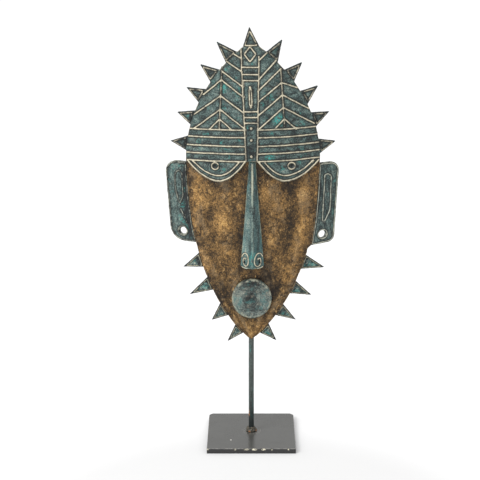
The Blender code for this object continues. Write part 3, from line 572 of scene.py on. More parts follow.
def uprightTree(wires):  # for each place on a wire, how upright the wire is there
    places, steep = [], []
    for edge in wires.data.edges:
        start, end = [wires.data.vertices[index].co for index in edge.vertices]
        along = (end - start).normalized()
        places.append(flat((start + end) / 2))
        share = 1.0 if abs(start.x) > wire["bandHalf"] else wire["bandShare"]
        steep.append(share * min(1.0, max(0.0, (abs(along.z) - wire["steepFrom"]) / wire["steepSpan"])))
    return treeOf(places), steep


def wiresToTubes(wires, radius):
    makeActive(wires)
    bpy.ops.object.convert(target="CURVE")
    curve = bpy.context.active_object.data
    curve.bevel_depth = radius
    curve.bevel_resolution = 2
    curve.use_fill_caps = True
    bpy.ops.object.convert(target="MESH")
    return bpy.context.active_object


def faceHalf(z):  # half the face's width at this height
    share = (z - faceShape["chin"]) / (faceShape["brow"] - faceShape["chin"])
    share = min(1.0, max(faceShape["least"], share))
    return faceShape["halfWidth"] * (1.0 - (1.0 - share) ** faceShape["rounding"]) ** faceShape["fullness"]


def beyondFace(point):  # millimetres outside the face's own outline
    return max(0.0, abs(point.x - faceShape["centreX"]) - faceHalf(point.z)) * mmInMetre


def patchTone(point, patches):  # lighter and darker patches by x, z, half width, half height and strength
    return sum(strength * math.exp(-((point.x - x) / wide) ** 2 - ((point.z - z) / tall) ** 2)
               for x, z, wide, tall, strength in patches)


def rimPoints(piece, frontDepth):  # the outline's front edge
    mesh = bmesh.new()
    mesh.from_mesh(piece.data)
    edges = []
    for edge in mesh.edges:
        if len(edge.link_faces) != 2:
            continue
        facing = sorted(abs(face.normal.dot(outwards(face.calc_center_median()))) for face in edge.link_faces)
        atFront = all(abs(frontDepth - depthOf(vertex.co)) < outline["frontSlack"] for vertex in edge.verts)
        if atFront and facing[0] < outline["edgeOn"] and facing[1] > outline["faceOn"]:
            edges.append(edge)
    points = pointsAlong(edges)
    mesh.free()
    return points


def beyondDome(point):  # millimetres outside the headdress's own edge, where its rays are
    share = max(0.0, (point.z - dome["brow"]) / (dome["crown"] - dome["brow"]))
    half = dome["leftHalf"] if point.x < 0.0 else dome["rightHalf"]
    return (abs(point.x) - half * max(0.0, 1.0 - share * share) ** dome["fullness"]) * mmInMetre


def insideDome(point):  # metres from the headdress's edge, inwards
    return -beyondDome(point) / mmInMetre


def digPits(piece, pits, frontDepth):  # hollows such as the eyes', by place, radius and depth
    values = [farOff] * len(piece.data.vertices)
    for index, vertex in enumerate(piece.data.vertices):
        for x, z, radius, deep in pits:
            away = math.hypot(vertex.co.x - x, vertex.co.z - z)
            if away < radius * 2 and depthOf(vertex.co) < frontDepth + outline["pitSlack"]:
                values[index] = away * mmInMetre
                if away < radius:
                    vertex.co -= outwards(vertex.co) * deep * (1.0 - (away / radius) ** 2)
    store(piece, "pit", values)


def castPiece(nodeName, pieceName, settings, material):
    piece = copyNode(nodeName, pieceName)
    front = settings["frontDepth"]
    hasDome = nodeName == "headdress"
    rims = treeOf([flat(point) for point in rimPoints(piece, front)])
    wires = takeWires(piece, front, rimTree=rims, edgeGap=insideDome if hasDome else None)
    lines = treeOf([flat(point) for point in edgePoints(wires)])
    segments, steep = uprightTree(wires)
    joinTo(piece, [wiresToTubes(wires, settings["wireRadius"])])
    remake(piece, settings)
    nearness(piece, "thread", lines)
    nearness(piece, "rim", rims)
    vertices = piece.data.vertices
    store(piece, "upright", [steep[segments.find(flat(vertex.co))[1]] for vertex in vertices])
    store(piece, "proud", [(front - depthOf(vertex.co)) * mmInMetre for vertex in vertices])
    store(piece, "tone", [patchTone(vertex.co, settings["tones"]) for vertex in vertices])
    if hasDome:
        fade = dome["rayFade"]
        store(piece, "ray", [min(1.0, max(0.0, beyondDome(vertex.co) / fade)) for vertex in vertices])
        store(piece, "beside", [farOff] * len(vertices))
    else:
        store(piece, "ray", [settings["isRay"]] * len(vertices))
        store(piece, "beside", [beyondFace(vertex.co) for vertex in vertices])
    digPits(piece, settings["pits"], front)
    handOver(piece, material, nodeName)


headdress = dict(
    frontDepth=-0.0034,
    wireRadius=0.0007,
    voxel=0.00046,
    softening=2,
    unevenness=[("CLOUDS", 0.012, 0.0005), ("CLOUDS", 0.0022, 0.00028), ("STUCCI", 0.0012, 0.00012)],
    mostTriangles=185000,
    pits=[(-0.0397, 0.3203, 0.0022, 0.001), (0.0443, 0.3203, 0.0022, 0.001)],
    tones=[(0.045, 0.375, 0.03, 0.04, -0.06), (-0.045, 0.385, 0.022, 0.03, 0.01),
           (0.0, 0.345, 0.008, 0.02, -0.12), (0.0, 0.345, 0.08, 0.018, -0.04)],
    look=dict(stretch=(0.4, 1.0, 1.0), base=0.37, coarse=0.75, middle=1.15, fine=1.3, greenFrom=0.56,
              haloFrom=1.0, haloTo=3.0, haloDepth=0.95, crestHalf=0.7, crestKept=0.92, crestTone=1.8,
              uprightLoss=-0.5, rayLoss=-0.55, crest=srgb(196, 188, 164), rimWear=0.6, rimDark=0.6,
              patches=[((0.03, -0.007, 0.372), 0.002, 0.011), ((-0.03, -0.006, 0.408), 0.001, 0.007),
                       ((0.02, -0.008, 0.33), 0.001, 0.008)]),
)

castPiece("headdress", "headdressCast", headdress, makeVerdigris("headdressVerdigris", headdress["look"]))

ears = dict(
    frontDepth=0.0029,
    wireRadius=0.00062,
    voxel=0.00042,
    softening=2,
    unevenness=[("CLOUDS", 0.012, 0.0006), ("CLOUDS", 0.0022, 0.0003), ("STUCCI", 0.0012, 0.00014)],
    mostTriangles=60000,
    isRay=0.0,
    pits=[],
    # darker along the left ear next to the face: painted shade with dark patina; the small strong ones are
    # dark crease strokes
    tones=[(-0.0815, 0.315, 0.008, 0.008, 0.06), (-0.085, 0.285, 0.006, 0.04, 0.06),
           (-0.0745, 0.31, 0.0045, 0.018, -0.2), (-0.0725, 0.28, 0.0045, 0.018, -0.24),
           (-0.0705, 0.255, 0.0045, 0.014, -0.24), (-0.07, 0.238, 0.0045, 0.01, -0.16),
           (-0.0785, 0.2655, 0.0012, 0.0045, -0.4), (-0.075, 0.258, 0.0012, 0.0045, -0.4),
           (-0.0722, 0.2505, 0.0012, 0.0045, -0.4), (-0.0698, 0.244, 0.001, 0.004, -0.4),
           (0.085, 0.28, 0.01, 0.05, -0.08)],
    look=dict(stretch=(1.0, 1.0, 0.4), base=0.35, coarse=0.5, middle=1.0, fine=1.4, greenFrom=0.55,
              haloFrom=0.8, haloTo=2.0, haloDepth=0.9, crestHalf=0.6, crestTone=0.0, uprightLoss=0.0,
              rayLoss=0.0, crest=srgb(182, 184, 168), rimWear=0.85, rimDark=0.85, patches=[]),
)

for side, crestKept in (("left", 0.3), ("right", 0.66)):  # the right ear keeps more of its pale loop
    earSkin = makeVerdigris(side + "EarVerdigris", dict(ears["look"], crestKept=crestKept))
    castPiece("ear_" + side, side + "EarCast", ears, earSkin)

jawRays = dict(
    frontDepth=0.0029,
    wireRadius=0.0006,
    voxel=0.00038,
    softening=2,
    unevenness=[("CLOUDS", 0.006, 0.0005), ("CLOUDS", 0.0018, 0.00034), ("STUCCI", 0.0012, 0.00014)],
    mostTriangles=20000,
    isRay=1.0,
    pits=[],
    tones=[],
    look=dict(stretch=(1.0, 1.0, 1.0), base=0.435, coarse=0.5, middle=1.8, fine=2.0, greenFrom=0.46,
              haloFrom=0.7, haloTo=1.6, haloDepth=0.7, crestHalf=0.55, crestKept=0.46, crestTone=0.0,
              uprightLoss=0.0, rayLoss=0.0, crest=srgb(184, 178, 154), rimWear=0.0, rimDark=1.0, patches=[]),
)

raySkin = makeVerdigris("rayVerdigris", jawRays["look"])
for side in ("left", "right"):
    for number in range(1, 5):
        castPiece("jaw_ray_%s_%d" % (side, number), "%sJawRay%d" % (side, number), jawRays, raySkin)
print("castings done")


# nose, a ridge that flares to two scrolled nostrils

nose = dict(
    frontDepth=-0.0018,
    middleX=0.0011,
    tipHeight=0.204,
    scrollTop=0.224,
    scrollAngle=50.0,
    scrollClear=0.0012,  # a scroll's edges lie further than this from the middle
    ridgeAngle=8.0,
    ridgeClear=0.0004,
    ridgeFoot=0.004,
    ridgeShare=0.8,
    pits=[(-0.0078, 0.212, 0.0014, 0.0008), (0.0092, 0.212, 0.0014, 0.0008)],
    # a lighter left flank, a darker right flank and a darker top by the headdress: painted light and shade
    tones=[(0.0011, 0.316, 0.01, 0.018, -0.16), (0.0075, 0.27, 0.004, 0.05, -0.08),
           (-0.0062, 0.25, 0.0038, 0.04, 0.24), (-0.0075, 0.225, 0.004, 0.014, 0.16)],
    wireRadius=0.00066,
    voxel=0.00036,
    softening=2,
    unevenness=[("CLOUDS", 0.01, 0.0005), ("CLOUDS", 0.002, 0.0003), ("STUCCI", 0.0011, 0.00014)],
    mostTriangles=90000,
    farthestRim=12.0,
    stretch=(1.0, 1.0, 0.3),
    base=0.325,
    tealHeights=(0.006, 0.045),  # above the tip, like footHeights
    teal=srgb(64, 112, 113),
    upperHeights=(0.268, 0.3),
    ridgeLow=srgb(142, 160, 150),
    ridgeHigh=srgb(172, 174, 154),
    lip=srgb(150, 150, 128),
    gullyPlace=(0.0011, -0.016, 0.217),
    gullyReach=(0.001, 0.012),
    gully=srgb(60, 146, 142),
    scroll=srgb(202, 196, 172),
    footHeights=(0.0012, 0.0024),
    foot=srgb(150, 162, 148),
)


def makeNose():
    piece = copyNode("nose", "noseCast")
    front, middleX, radius = nose["frontDepth"], nose["middleX"], nose["wireRadius"]
    ridgeLow = nose["tipHeight"] + nose["ridgeFoot"]
    scrolls = takeWires(piece, front, 0.0, nose["scrollAngle"], lambda middle:
                        middle.z < nose["scrollTop"] and abs(middle.x - middleX) > nose["scrollClear"])
    ridge = takeWires(piece, front, 0.0, nose["ridgeAngle"], lambda middle:
                      middle.z > ridgeLow and abs(middle.x - middleX) < nose["ridgeClear"])
    rims = rimPoints(piece, front)
    scrollLines = edgePoints(scrolls)
    lines = scrollLines + edgePoints(ridge)
    joinTo(piece, [wiresToTubes(scrolls, radius), wiresToTubes(ridge, radius * nose["ridgeShare"])])
    remake(piece, nose)
    nearness(piece, "thread", treeOf([flat(point) for point in scrollLines]))
    nearness(piece, "crestLine", treeOf([flat(point) for point in lines]))
    nearness(piece, "rim", treeOf([flat(point) for point in rims]), nose["farthestRim"])
    store(piece, "tone", [patchTone(vertex.co, nose["tones"]) for vertex in piece.data.vertices])
    digPits(piece, nose["pits"], 0.0)
    handOver(piece, makeNoseSkin(), "nose")


def makeNoseSkin():
    material, tree, shader = newMaterial("noseVerdigris", verdigris["metallic"])
    point = objectPoint(tree)
    tall = objectPoint(tree, nose["stretch"])
    middleCloud = cloudy(tree, tall, 0.005, 4.0, 0.65)
    fineCloud = cloudy(tree, point, verdigris["fineSize"], 2.0)
    patches, thread, crestLine, rim, pit = [fromAttribute(tree, layer) for layer in (
        "tone", "thread", "crestLine", "rim", "pit")]
    aboveTip = sumUp(tree, -nose["tipHeight"], [(height(tree), 0.0, 1.0)])
    edge = fall(tree, rim, 0.4, 4.5)
    tone = sumUp(tree, nose["base"], [(middleCloud, 0.5, 1.1), (fineCloud, 0.5, 1.3), (patches, 0.0, 1.0),
                                      (edge, 0.0, 0.03)])
    colour = colourBand(tree, tone, verdigris["band"])
    low = fall(tree, aboveTip, *nose["tealHeights"])
    teal = sumUp(tree, 0.06, [(edge, 0.0, 0.3), (low, 0.0, 0.24), (cloudy(tree, tall, 0.0036), 0.5, 2.2)])
    colour = paint(tree, colour, nose["teal"], teal, 0.7)
    upper = ramp(tree, height(tree), *nose["upperHeights"])
    strokes = cloudy(tree, tall, 0.004)
    kept = sumUp(tree, 0.36, [(strokes, 0.5, 2.6), (fineCloud, 0.5, 1.4), (upper, 0.0, 0.42)])
    ridgeColour = mixColour(tree, upper, nose["ridgeLow"], nose["ridgeHigh"])
    colour = paint(tree, colour, ridgeColour, fall(tree, crestLine, 0.3, 1.7), kept)
    lip = fall(tree, rim, 0.35, 0.95)
    colour = paint(tree, colour, nose["lip"], lip, grain(tree, tall, 0.004, 0.4, 0.58), 0.6)
    gully = fall(tree, awayFrom(tree, nose["gullyPlace"]), *nose["gullyReach"])
    colour = paint(tree, colour, nose["gully"], gully, grain(tree, tall, 0.0028, 0.4, 0.56), 0.75)
    # darker beside the scroll wires: painted shade, with dark patina in the crevices
    colour = paint(tree, colour, verdigris["black"], fall(tree, thread, 0.9, 1.7), 0.8)
    kept = sumUp(tree, 0.8, [(cloudy(tree, point, 0.004), 0.5, 2.0)])
    colour = paint(tree, colour, nose["scroll"], fall(tree, thread, 0.45, 0.75), kept)
    foot = fall(tree, aboveTip, *nose["footHeights"])
    colour = paint(tree, colour, nose["foot"], foot, grain(tree, point, 0.003, 0.4, 0.56), 0.7)
    colour = paint(tree, colour, verdigris["black"], fall(tree, pit, 0.9, 1.5))
    finishShader(tree, shader, colour, 0.5, [(middleCloud, 0.0005), (fineCloud, 0.00015)])
    return material


makeNose()


# mouth, a shallow bowl with a worn rim

mouth = dict(
    centre=(0.00055, -0.008, 0.1695),
    voxel=0.00036,
    softening=3,
    unevenness=[("CLOUDS", 0.006, 0.0006), ("CLOUDS", 0.002, 0.0003), ("STUCCI", 0.0011, 0.00016)],
    mostTriangles=60000,
    base=0.42,
    band=[(0.0, srgb(18, 21, 21)), (0.26, srgb(50, 57, 55)), (0.46, srgb(82, 93, 89)),
          (0.66, srgb(112, 122, 115)), (0.84, srgb(148, 150, 138)), (1.0, srgb(194, 190, 170))],
    green=srgb(66, 124, 122),
    dust=srgb(156, 150, 132),
    rim=srgb(154, 154, 136),
    rimReach=(0.0198, 0.021),  # from the centre
    ringSize=0.0022,
    # a darker centre and top and lighter inner walls: painted shade and painted highlights in the bowl
    tones=[(0.0, 0.1695, 0.0078, 0.0068, -0.48), (0.0005, 0.189, 0.012, 0.006, -0.38),
           (-0.015, 0.17, 0.0065, 0.012, 0.24), (0.015, 0.168, 0.0055, 0.012, 0.06),
           (0.0075, 0.1705, 0.0028, 0.0034, 0.42), (-0.0095, 0.1765, 0.004, 0.0035, 0.2),
           (0.002, 0.159, 0.008, 0.003, -0.16), (0.0005, 0.152, 0.01, 0.003, -0.04)],
)


def makeMouthSkin():
    material, tree, shader = newMaterial("mouthVerdigris", verdigris["metallic"])
    point = objectPoint(tree)
    coarseCloud = cloudy(tree, point, 0.008)
    middleCloud = cloudy(tree, point, 0.0028)
    fineCloud = cloudy(tree, point, 0.001, 2.0)
    centreGap = awayFrom(tree, mouth["centre"])
    radius = sumUp(tree, 0.0, [(centreGap, 0.0, 1.0), (coarseCloud, 0.5, 0.012)])
    reach = addNode(tree, "ShaderNodeCombineXYZ", inputs={"X": radius}).outputs["Vector"]
    rings = addNode(tree, "ShaderNodeVectorMath", {"operation": "ADD"},  # strokes that run round the bowl
                    {0: reach, 1: objectPoint(tree, (0.5, 0.0, 0.5))})
    strokes = cloudy(tree, rings.outputs["Vector"], mouth["ringSize"])
    tone = sumUp(tree, mouth["base"], [
        (coarseCloud, 0.5, 0.5), (middleCloud, 0.5, 0.4), (fineCloud, 0.5, 1.1), (strokes, 0.5, 0.9),
        (fromAttribute(tree, "tone"), 0.0, 1.0)])
    colour = colourBand(tree, tone, mouth["band"])
    green = grain(tree, objectPoint(tree, shift=(0.2, 0.0, 0.4)), 0.007, 0.48, 0.64)
    colour = paint(tree, colour, mouth["green"], green, grain(tree, point, 0.0022, 0.36, 0.6), 0.5)
    dusty = grain(tree, objectPoint(tree, shift=(0.7, 0.0, 0.1)), 0.006, 0.5, 0.66)
    colour = paint(tree, colour, mouth["dust"], dusty, grain(tree, point, 0.0016, 0.4, 0.6), 0.45)
    rim = ramp(tree, centreGap, *mouth["rimReach"])
    colour = paint(tree, colour, mouth["rim"], rim, grain(tree, point, 0.0036, 0.42, 0.58), 0.8)
    finishShader(tree, shader, colour, 0.55, [(middleCloud, 0.0004), (fineCloud, 0.00015)])
    return material


def makePlain(nodeName, pieceName, settings, material):  # pieces without wires
    piece = copyNode(nodeName, pieceName)
    remake(piece, settings)
    if "tones" in settings:
        store(piece, "tone", [patchTone(vertex.co, settings["tones"]) for vertex in piece.data.vertices])
    handOver(piece, material, nodeName)


makePlain("mouth", "mouthBowl", mouth, makeMouthSkin())
print("nose and mouth done")


# face, a hammered and crumpled bronze sheet

face = dict(
    backDepth=0.0025,
    voxel=0.00058,
    softening=2,
    folds=[(-0.8, 0.9, 0.11), (-0.66, -0.8, 0.07), (-0.45, 0.9, 0.13),  # place across, height, width
           (-0.22, -0.6, 0.08), (0.12, -0.5, 0.05), (0.33, 0.7, 0.13), (0.6, -1.1, 0.07), (0.81, 1.0, 0.11)],
    foldHeight=0.001,
    foldWander=(0.16, 1.2, 0.034),  # how far, how often across, and over what height
    foldSwell=(0.65, 0.9, 0.03),  # the least, the change, and over what height
    dimpleSize=(0.0062, 0.0085),
    dimpleHeight=0.0006,
    wrinkleSize=0.0026,
    wrinkleHeight=0.00022,
    puckerSize=0.0024,
    puckerHeight=0.0007,
    puckerReach=0.009,
    puckerLength=0.012,
    puckerRelief=1.1,
    calmRim=0.006,  # within this of the edge the relief dies down to calmShare
    calmShare=0.35,
    backShare=0.5,
    reliefShares=(0.8, 0.55, 0.25),  # of folds, dimples and wrinkles, for the colours: painted highlight on the highs, painted shade in the lows
    # painted highlights, painted shade under the brow lobes and beside the nose, and the bronze's own uneven
    # tone
    tones=[(-0.0588, 0.2839, 0.009, 0.016, 0.16), (-0.0491, 0.2776, 0.01, 0.018, 0.1),
           (-0.0312, 0.2602, 0.011, 0.013, 0.2), (-0.0327, 0.2487, 0.009, 0.011, 0.14),
           (-0.0526, 0.2111, 0.009, 0.012, 0.16), (-0.0273, 0.2217, 0.01, 0.01, 0.1),
           (0.0584, 0.2882, 0.008, 0.012, 0.18), (0.0574, 0.2483, 0.006, 0.018, 0.18),
           (0.0492, 0.2274, 0.007, 0.012, 0.15), (0.0397, 0.1918, 0.008, 0.01, 0.15),
           (0.024, 0.2333, 0.008, 0.014, 0.1), (0.0128, 0.2793, 0.004, 0.02, 0.14),
           (0.0075, 0.1372, 0.009, 0.007, 0.1), (-0.0009, 0.1238, 0.005, 0.006, 0.2),
           (0.046, 0.2779, 0.006, 0.014, 0.08),
           (-0.0465, 0.265, 0.004, 0.012, -0.16), (-0.0201, 0.2735, 0.007, 0.01, -0.12),
           (0.0141, 0.3075, 0.008, 0.008, -0.16), (0.0417, 0.2881, 0.004, 0.02, -0.11),
           (0.0351, 0.2414, 0.006, 0.016, -0.16), (0.02, 0.1958, 0.005, 0.012, -0.2),
           (0.013, 0.1989, 0.004, 0.012, -0.16), (-0.0272, 0.2332, 0.01, 0.006, -0.14),
           (-0.0106, 0.2337, 0.004, 0.014, -0.14), (-0.0351, 0.2983, 0.016, 0.006, -0.2),
           (0.0375, 0.2968, 0.016, 0.006, -0.18), (-0.0346, 0.1701, 0.01, 0.014, -0.24),
           (0.0257, 0.178, 0.008, 0.014, -0.2), (0.0425, 0.258, 0.005, 0.028, -0.15),
           (0.028, 0.288, 0.012, 0.024, 0.13), (-0.028, 0.286, 0.016, 0.018, 0.04),
           (0.056, 0.27, 0.006, 0.034, 0.08), (0.042, 0.213, 0.012, 0.014, 0.06),
           (-0.0486, 0.1866, 0.008, 0.008, -0.12), (0.0005, 0.1962, 0.02, 0.006, -0.06),
           (0.0496, 0.1792, 0.006, 0.008, -0.16), (0.0, 0.165, 0.06, 0.035, -0.06)],
    base=0.385,
    band=[(0.0, srgb(26, 20, 14)), (0.25, srgb(64, 49, 29)), (0.48, srgb(112, 85, 49)),
          (0.66, srgb(148, 113, 65)), (0.82, srgb(180, 140, 82)), (1.0, srgb(210, 178, 122))],
    dust=srgb(142, 124, 98),
    speck=srgb(34, 26, 18),
    glint=srgb(206, 168, 110),
    crack=srgb(30, 22, 15),
    lip=srgb(196, 166, 122),
    metallic=0.55,
    roughness=0.4,
    edgeWander=0.0005,
    edgeReach=0.004,
    wanderSize=0.006,
    farthest=12.0,
    mostTriangles=190000,
)


def crumple(point):  # broad upright folds, dimples and small wrinkles of the skin
    far, often, tall = face["foldWander"]
    across = (point.x - faceShape["centreX"]) / faceHalf(point.z)
    across += far * noise.noise(Vector((across * often, 2.1, point.z / tall)))
    least, change, tall = face["foldSwell"]
    folds = 0.0
    for number, (place, high, wide) in enumerate(face["folds"]):
        swell = least + change * noise.noise(Vector((number * 5.3, 0.7, point.z / tall)))
        folds += high * swell * math.exp(-((across - place) / wide) ** 2)
    sizeAcross, sizeUp = face["dimpleSize"]
    dimples = noise.fractal(Vector((point.x / sizeAcross, 7.7, point.z / sizeUp)), 0.9, 2.0, 3)
    wrinkles = noise.ridged_multi_fractal(point / face["wrinkleSize"], 0.9, 2.0, 2, 0.9, 2.0) - 1.0
    return folds, dimples, wrinkles


def makeFace():
    piece = copyNode("face", "faceSkin")
    rims = rimPoints(piece, 0.0)
    remesh(piece, face["voxel"])
    soften(piece, face["softening"])
    rimTree = treeOf(rims)
    foldShare, dimpleShare, wrinkleShare = face["reliefShares"]
    relief = []
    shifts = []
    for vertex in piece.data.vertices:
        place = vertex.co.copy()
        folds, dimples, wrinkles = crumple(place)
        rise = folds * face["foldHeight"] + dimples * face["dimpleHeight"] + wrinkles * face["wrinkleHeight"]
        rim = rimTree.find(place)[2]
        if rim < face["puckerReach"]:  # small creases that run in from the edge
            crease = noise.noise(Vector((place.x / face["puckerLength"], 4.4, place.z / face["puckerSize"])))
            crease *= math.sin(math.pi * rim / face["puckerReach"])
            rise += crease * face["puckerHeight"]
            folds += crease * face["puckerRelief"]
        calm = face["calmShare"] + (1.0 - face["calmShare"]) * min(1.0, rim / face["calmRim"])
        isFront = depthOf(place) < face["backDepth"] * 0.5
        shifts.append(outwards(place) * rise * calm * (1.0 if isFront else face["backShare"]))
        relief.append(folds * foldShare + dimples * dimpleShare + wrinkles * wrinkleShare)
        if rim < face["edgeReach"]:
            wander = noise.noise(Vector((place.z / face["wanderSize"], 1.3, math.copysign(3.0, place.x))))
            shifts[-1].x += wander * face["edgeWander"] * (1.0 - rim / face["edgeReach"])
    for vertex, shift in zip(piece.data.vertices, shifts):
        vertex.co += shift
    store(piece, "relief", relief)
    thin(piece, face["mostTriangles"])
    store(piece, "tone", [patchTone(vertex.co, face["tones"]) for vertex in piece.data.vertices])
    neighbours = []
    for name in ("headdress", "nose", "mouth"):
        mesh = bmesh.new()
        mesh.from_mesh(nodes[name].data)
        neighbours += pointsAlong([edge for edge in mesh.edges if len(edge.link_faces) < 2
                                   or edge.calc_face_angle(0.0) > 1.0], 0.001)
        mesh.free()
    nearness(piece, "rim", rimTree, face["farthest"], Vector)
    nearness(piece, "beside", treeOf(neighbours), face["farthest"], Vector)
    handOver(piece, makeFaceSkin(), "face")


def makeFaceSkin():
    material, tree, shader = newMaterial("faceBronze", face["metallic"])
    point = objectPoint(tree)
    tall = objectPoint(tree, (1.0, 1.0, 0.55))
    coarseCloud = cloudy(tree, tall, 0.013)
    middleCloud = cloudy(tree, objectPoint(tree, shift=(0.4, 0.2, 0.0)), 0.0042, 4.0, 0.65)
    fineCloud = cloudy(tree, objectPoint(tree, shift=(0.1, 0.5, 0.2)), 0.0012, 2.0)
    rim, patches, relief = [fromAttribute(tree, layer) for layer in ("rim", "tone", "relief")]
    # darker towards the skin's edge and near the headdress, nose and mouth: painted shade where the parts
    # meet
    edge = fall(tree, rim, 0.8, 5.0)
    beside = fall(tree, fromAttribute(tree, "beside"), 0.3, 6.0)
    # relief lightens the highs and darkens the lows of the folds: painted highlight and painted shade
    tone = sumUp(tree, face["base"], [
        (coarseCloud, 0.5, 0.65), (middleCloud, 0.5, 0.9), (fineCloud, 0.5, 1.15), (patches, 0.0, 1.1),
        (relief, 0.0, 0.09), (edge, 0.0, -0.16), (beside, 0.0, -0.13)])
    colour = colourBand(tree, tone, face["band"])
    # greyer and lighter on the highs of the relief: painted sheen, with dust
    colour = paint(tree, colour, face["dust"], ramp(tree, relief, 0.1, 0.8), 0.3)
    speck = grain(tree, point, 0.0017, 0.58, 0.64, 2.0)
    colour = paint(tree, colour, face["speck"], speck, grain(tree, point, 0.011, 0.4, 0.62), 0.75)
    glint = grain(tree, tall, 0.0021, 0.6, 0.66, 2.0)
    colour = paint(tree, colour, face["glint"], glint, grain(tree, tall, 0.013, 0.42, 0.62), 0.5)
    split = cracks(tree, tall, 0.006, 0.03)
    colour = paint(tree, colour, face["crack"], split, grain(tree, point, 0.01, 0.46, 0.6), 0.85)
    lip = fall(tree, rim, 0.25, 0.8)
    colour = paint(tree, colour, face["lip"], lip, grain(tree, point, 0.006, 0.32, 0.5), 0.9)
    finishShader(tree, shader, colour, face["roughness"], [(middleCloud, 0.0006), (fineCloud, 0.0003)])
    return material


makeFace()
print("face done")


# rod, weld and plate

rod = dict(
    voxel=0.0005,
    softening=0,
    unevenness=[("CLOUDS", 0.01, 0.00022), ("CLOUDS", 0.0016, 0.00014)],
    mostTriangles=40000,
    darkHeights=(0.014, 0.06),
    streaks=(srgb(48, 56, 54), srgb(64, 73, 71)),
    fleck=srgb(126, 134, 126),
    green=srgb(66, 112, 108),
    dark=srgb(20, 27, 27),
    rustPlaces=[(-0.0028, -0.0012, 0.0266), (-0.0029, -0.0008, 0.031)],
    rust=srgb(206, 142, 96),
)


def makeRodSkin():
    material, tree, shader = newMaterial("rodPatina", 0.35)
    point = objectPoint(tree)
    streak = grain(tree, objectPoint(tree, (1.0, 1.0, 0.22)), 0.004, 0.36, 0.62, 4.0, 0.65)
    fleck = grain(tree, point, 0.0013, 0.48, 0.62, 2.0)
    colour = mixColour(tree, streak, *rod["streaks"])
    colour = paint(tree, colour, rod["fleck"], fleck, 0.3)
    green = grain(tree, objectPoint(tree, (1, 1, 0.4), (0.2, 0.2, 0.2)), 0.006, 0.52, 0.66)
    colour = paint(tree, colour, rod["green"], green, grain(tree, point, 0.002, 0.35, 0.55))
    colour = paint(tree, colour, rod["dark"], fall(tree, height(tree), *rod["darkHeights"]), 0.85)
    for centre in rod["rustPlaces"]:
        spot = fall(tree, awayFrom(tree, centre), 0.0006, 0.0026)
        colour = paint(tree, colour, rod["rust"], spot, grain(tree, point, 0.0014, 0.4, 0.56))
    finishShader(tree, shader, colour, 0.5, [(streak, 0.0002), (fleck, 0.0001)])
    return material


weld = dict(
    voxel=0.00026,
    softening=2,
    unevenness=[("CLOUDS", 0.003, 0.0013), ("CLOUDS", 0.001, 0.0004)],
    mostTriangles=20000,
    metals=(srgb(36, 38, 36), srgb(84, 78, 68)),
    fleck=srgb(140, 130, 112),
    copperPlaces=[(-0.0022, -0.0058, 0.0068), (0.0058, -0.0018, 0.0068)],
    copper=srgb(176, 122, 84),
)


def makeWeldSkin():
    material, tree, shader = newMaterial("brazeBead", 0.5)
    point = objectPoint(tree)
    patch = grain(tree, point, 0.0035, 0.46, 0.58)
    fleck = grain(tree, point, 0.001, 0.42, 0.6, 2.0)
    colour = mixColour(tree, patch, *weld["metals"])
    colour = paint(tree, colour, weld["fleck"], fleck, 0.4)
    for centre in weld["copperPlaces"]:
        colour = paint(tree, colour, weld["copper"], fall(tree, awayFrom(tree, centre), 0.0006, 0.0022), 0.6)
    finishShader(tree, shader, colour, 0.45, [(patch, 0.0003), (fleck, 0.0001)])
    return material


plate = dict(
    half=0.05,
    cuts=[-0.047 + 0.00235 * step for step in range(41)],
    chips=[(-0.0056, 0.003, 0.65), (0.0034, 0.0029, 1.0),  # middle, half length, strength
           (0.0138, 0.0024, 1.0), (0.0229, 0.0009, 0.9), (0.0417, 0.0008, 0.9), (-0.0182, 0.0013, 0.4),
           (-0.049, 0.001, 0.6)],
    chipTall=0.001,
    chipBelow=0.0011,
    chipDent=0.00035,
    chipReach=0.0012,
    edgeSlack=0.0006,
    scuffRadius=0.0092,
    scuffHalf=0.002,
    specular=0.8,
    gloss=(0.22, 0.25),
    sides=(srgb(5, 5, 5), srgb(10, 10, 10)),
    top=0.006,
    tops=(srgb(70, 70, 67), srgb(75, 75, 72)),
    fleck=srgb(120, 118, 110),
    scuff=srgb(150, 146, 138),
    speckPlace=(-0.0232, -0.0262, 0.006),
    speck=srgb(220, 216, 206),
    lip=srgb(140, 138, 130),
    chip=srgb(224, 217, 192),
)


def chipMask(tree, point):
    worst = None
    tall = plate["chipTall"]
    middleZ = (plate["top"] - plate["chipBelow"]) / tall
    wobble = addNode(tree, "ShaderNodeTexNoise", inputs={"Vector": point, "Scale": 700.0, "Detail": 2.0})
    for middle, half, strength in plate["chips"]:
        place = objectPoint(tree, (1.0 / half, 0.0, 1.0 / tall))
        away = gap(tree, place, (middle / half, 0.0, middleZ))
        inside = multiply(tree, fall(tree, away, 0.75, 1.25), strength)
        worst = inside if worst is None else maths(tree, "MAXIMUM", worst, inside)
    return multiply(tree, worst, ramp(tree, wobble.outputs["Fac"], 0.43, 0.5))


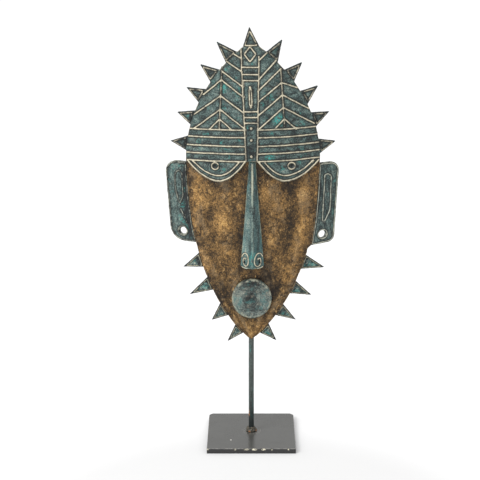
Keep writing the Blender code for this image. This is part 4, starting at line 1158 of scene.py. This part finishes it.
def makePlateSkin():
    material, tree, shader = newMaterial("blackEnamel", 0.0, plate["specular"])
    point = objectPoint(tree)
    top, edge = plate["top"], -plate["half"]
    haze = grain(tree, point, 0.018, 0.35, 0.65, 4.0)
    colour = mixColour(tree, haze, *plate["sides"])
    # the top a lighter grey than the sides: painted reflection, with some dust
    colour = paint(tree, colour, mixColour(tree, haze, *plate["tops"]),
                   ramp(tree, height(tree), top - 0.0004, top - 0.0002))
    colour = paint(tree, colour, plate["fleck"], grain(tree, point, 0.0009, 0.68, 0.74, 2.0), 0.2)
    scuff = addNode(tree, "ShaderNodeMath", {"operation": "COMPARE"},  # a scratched ring round the weld
                    {0: awayFrom(tree, (0.0, 0.0, top)), 1: plate["scuffRadius"], 2: plate["scuffHalf"]})
    scratches = grain(tree, point, 0.0012, 0.54, 0.66, 2.0)
    colour = paint(tree, colour, plate["scuff"], scuff.outputs[0], scratches, 0.7)
    speck = fall(tree, awayFrom(tree, plate["speckPlace"]), 0.0006, 0.0012)
    colour = paint(tree, colour, plate["speck"], speck)
    places = addNode(tree, "ShaderNodeSeparateXYZ", inputs={"Vector": point})
    front = fall(tree, places.outputs["Y"], edge + 0.0003, edge + 0.0012)
    lip = multiply(tree, ramp(tree, height(tree), top - 0.0007, top - 0.0003), front)
    colour = paint(tree, colour, plate["lip"], lip, grain(tree, point, 0.004, 0.4, 0.6), 0.45)
    colour = paint(tree, colour, plate["chip"], chipMask(tree, point), front)
    least, most = plate["gloss"]
    gloss = addNode(tree, "ShaderNodeMapRange", inputs={"Value": haze, "To Min": least, "To Max": most})
    finishShader(tree, shader, colour, gloss.outputs["Result"], [(haze, 0.00004)])
    return material


def makePlate():
    piece = copyNode("base_plate", "basePlate")
    for x in plate["cuts"]:
        editAll(piece, (bpy.ops.mesh.bisect, dict(plane_co=(x, 0.0, 0.0), plane_no=(1.0, 0.0, 0.0))))
    behind = (0.0, -plate["half"] + plate["chipReach"], 0.0)
    editAll(piece, (bpy.ops.mesh.bisect, dict(plane_co=behind, plane_no=(0.0, 1.0, 0.0))))
    dent = Vector((0.0, plate["chipDent"], -plate["chipDent"]))
    slack = plate["edgeSlack"]
    for vertex in piece.data.vertices:
        onEdge = vertex.co.y < -plate["half"] + slack and vertex.co.z > plate["top"] - slack
        if onEdge and any(abs(vertex.co.x - middle) < half for middle, half, strength in plate["chips"]):
            vertex.co += dent
    handOver(piece, makePlateSkin(), "base_plate")
    bpy.ops.object.shade_flat()


makePlain("rod", "rodCast", rod, makeRodSkin())
makePlain("foot_weld", "brazeRing", weld, makeWeldSkin())
makePlate()
print("stand done")
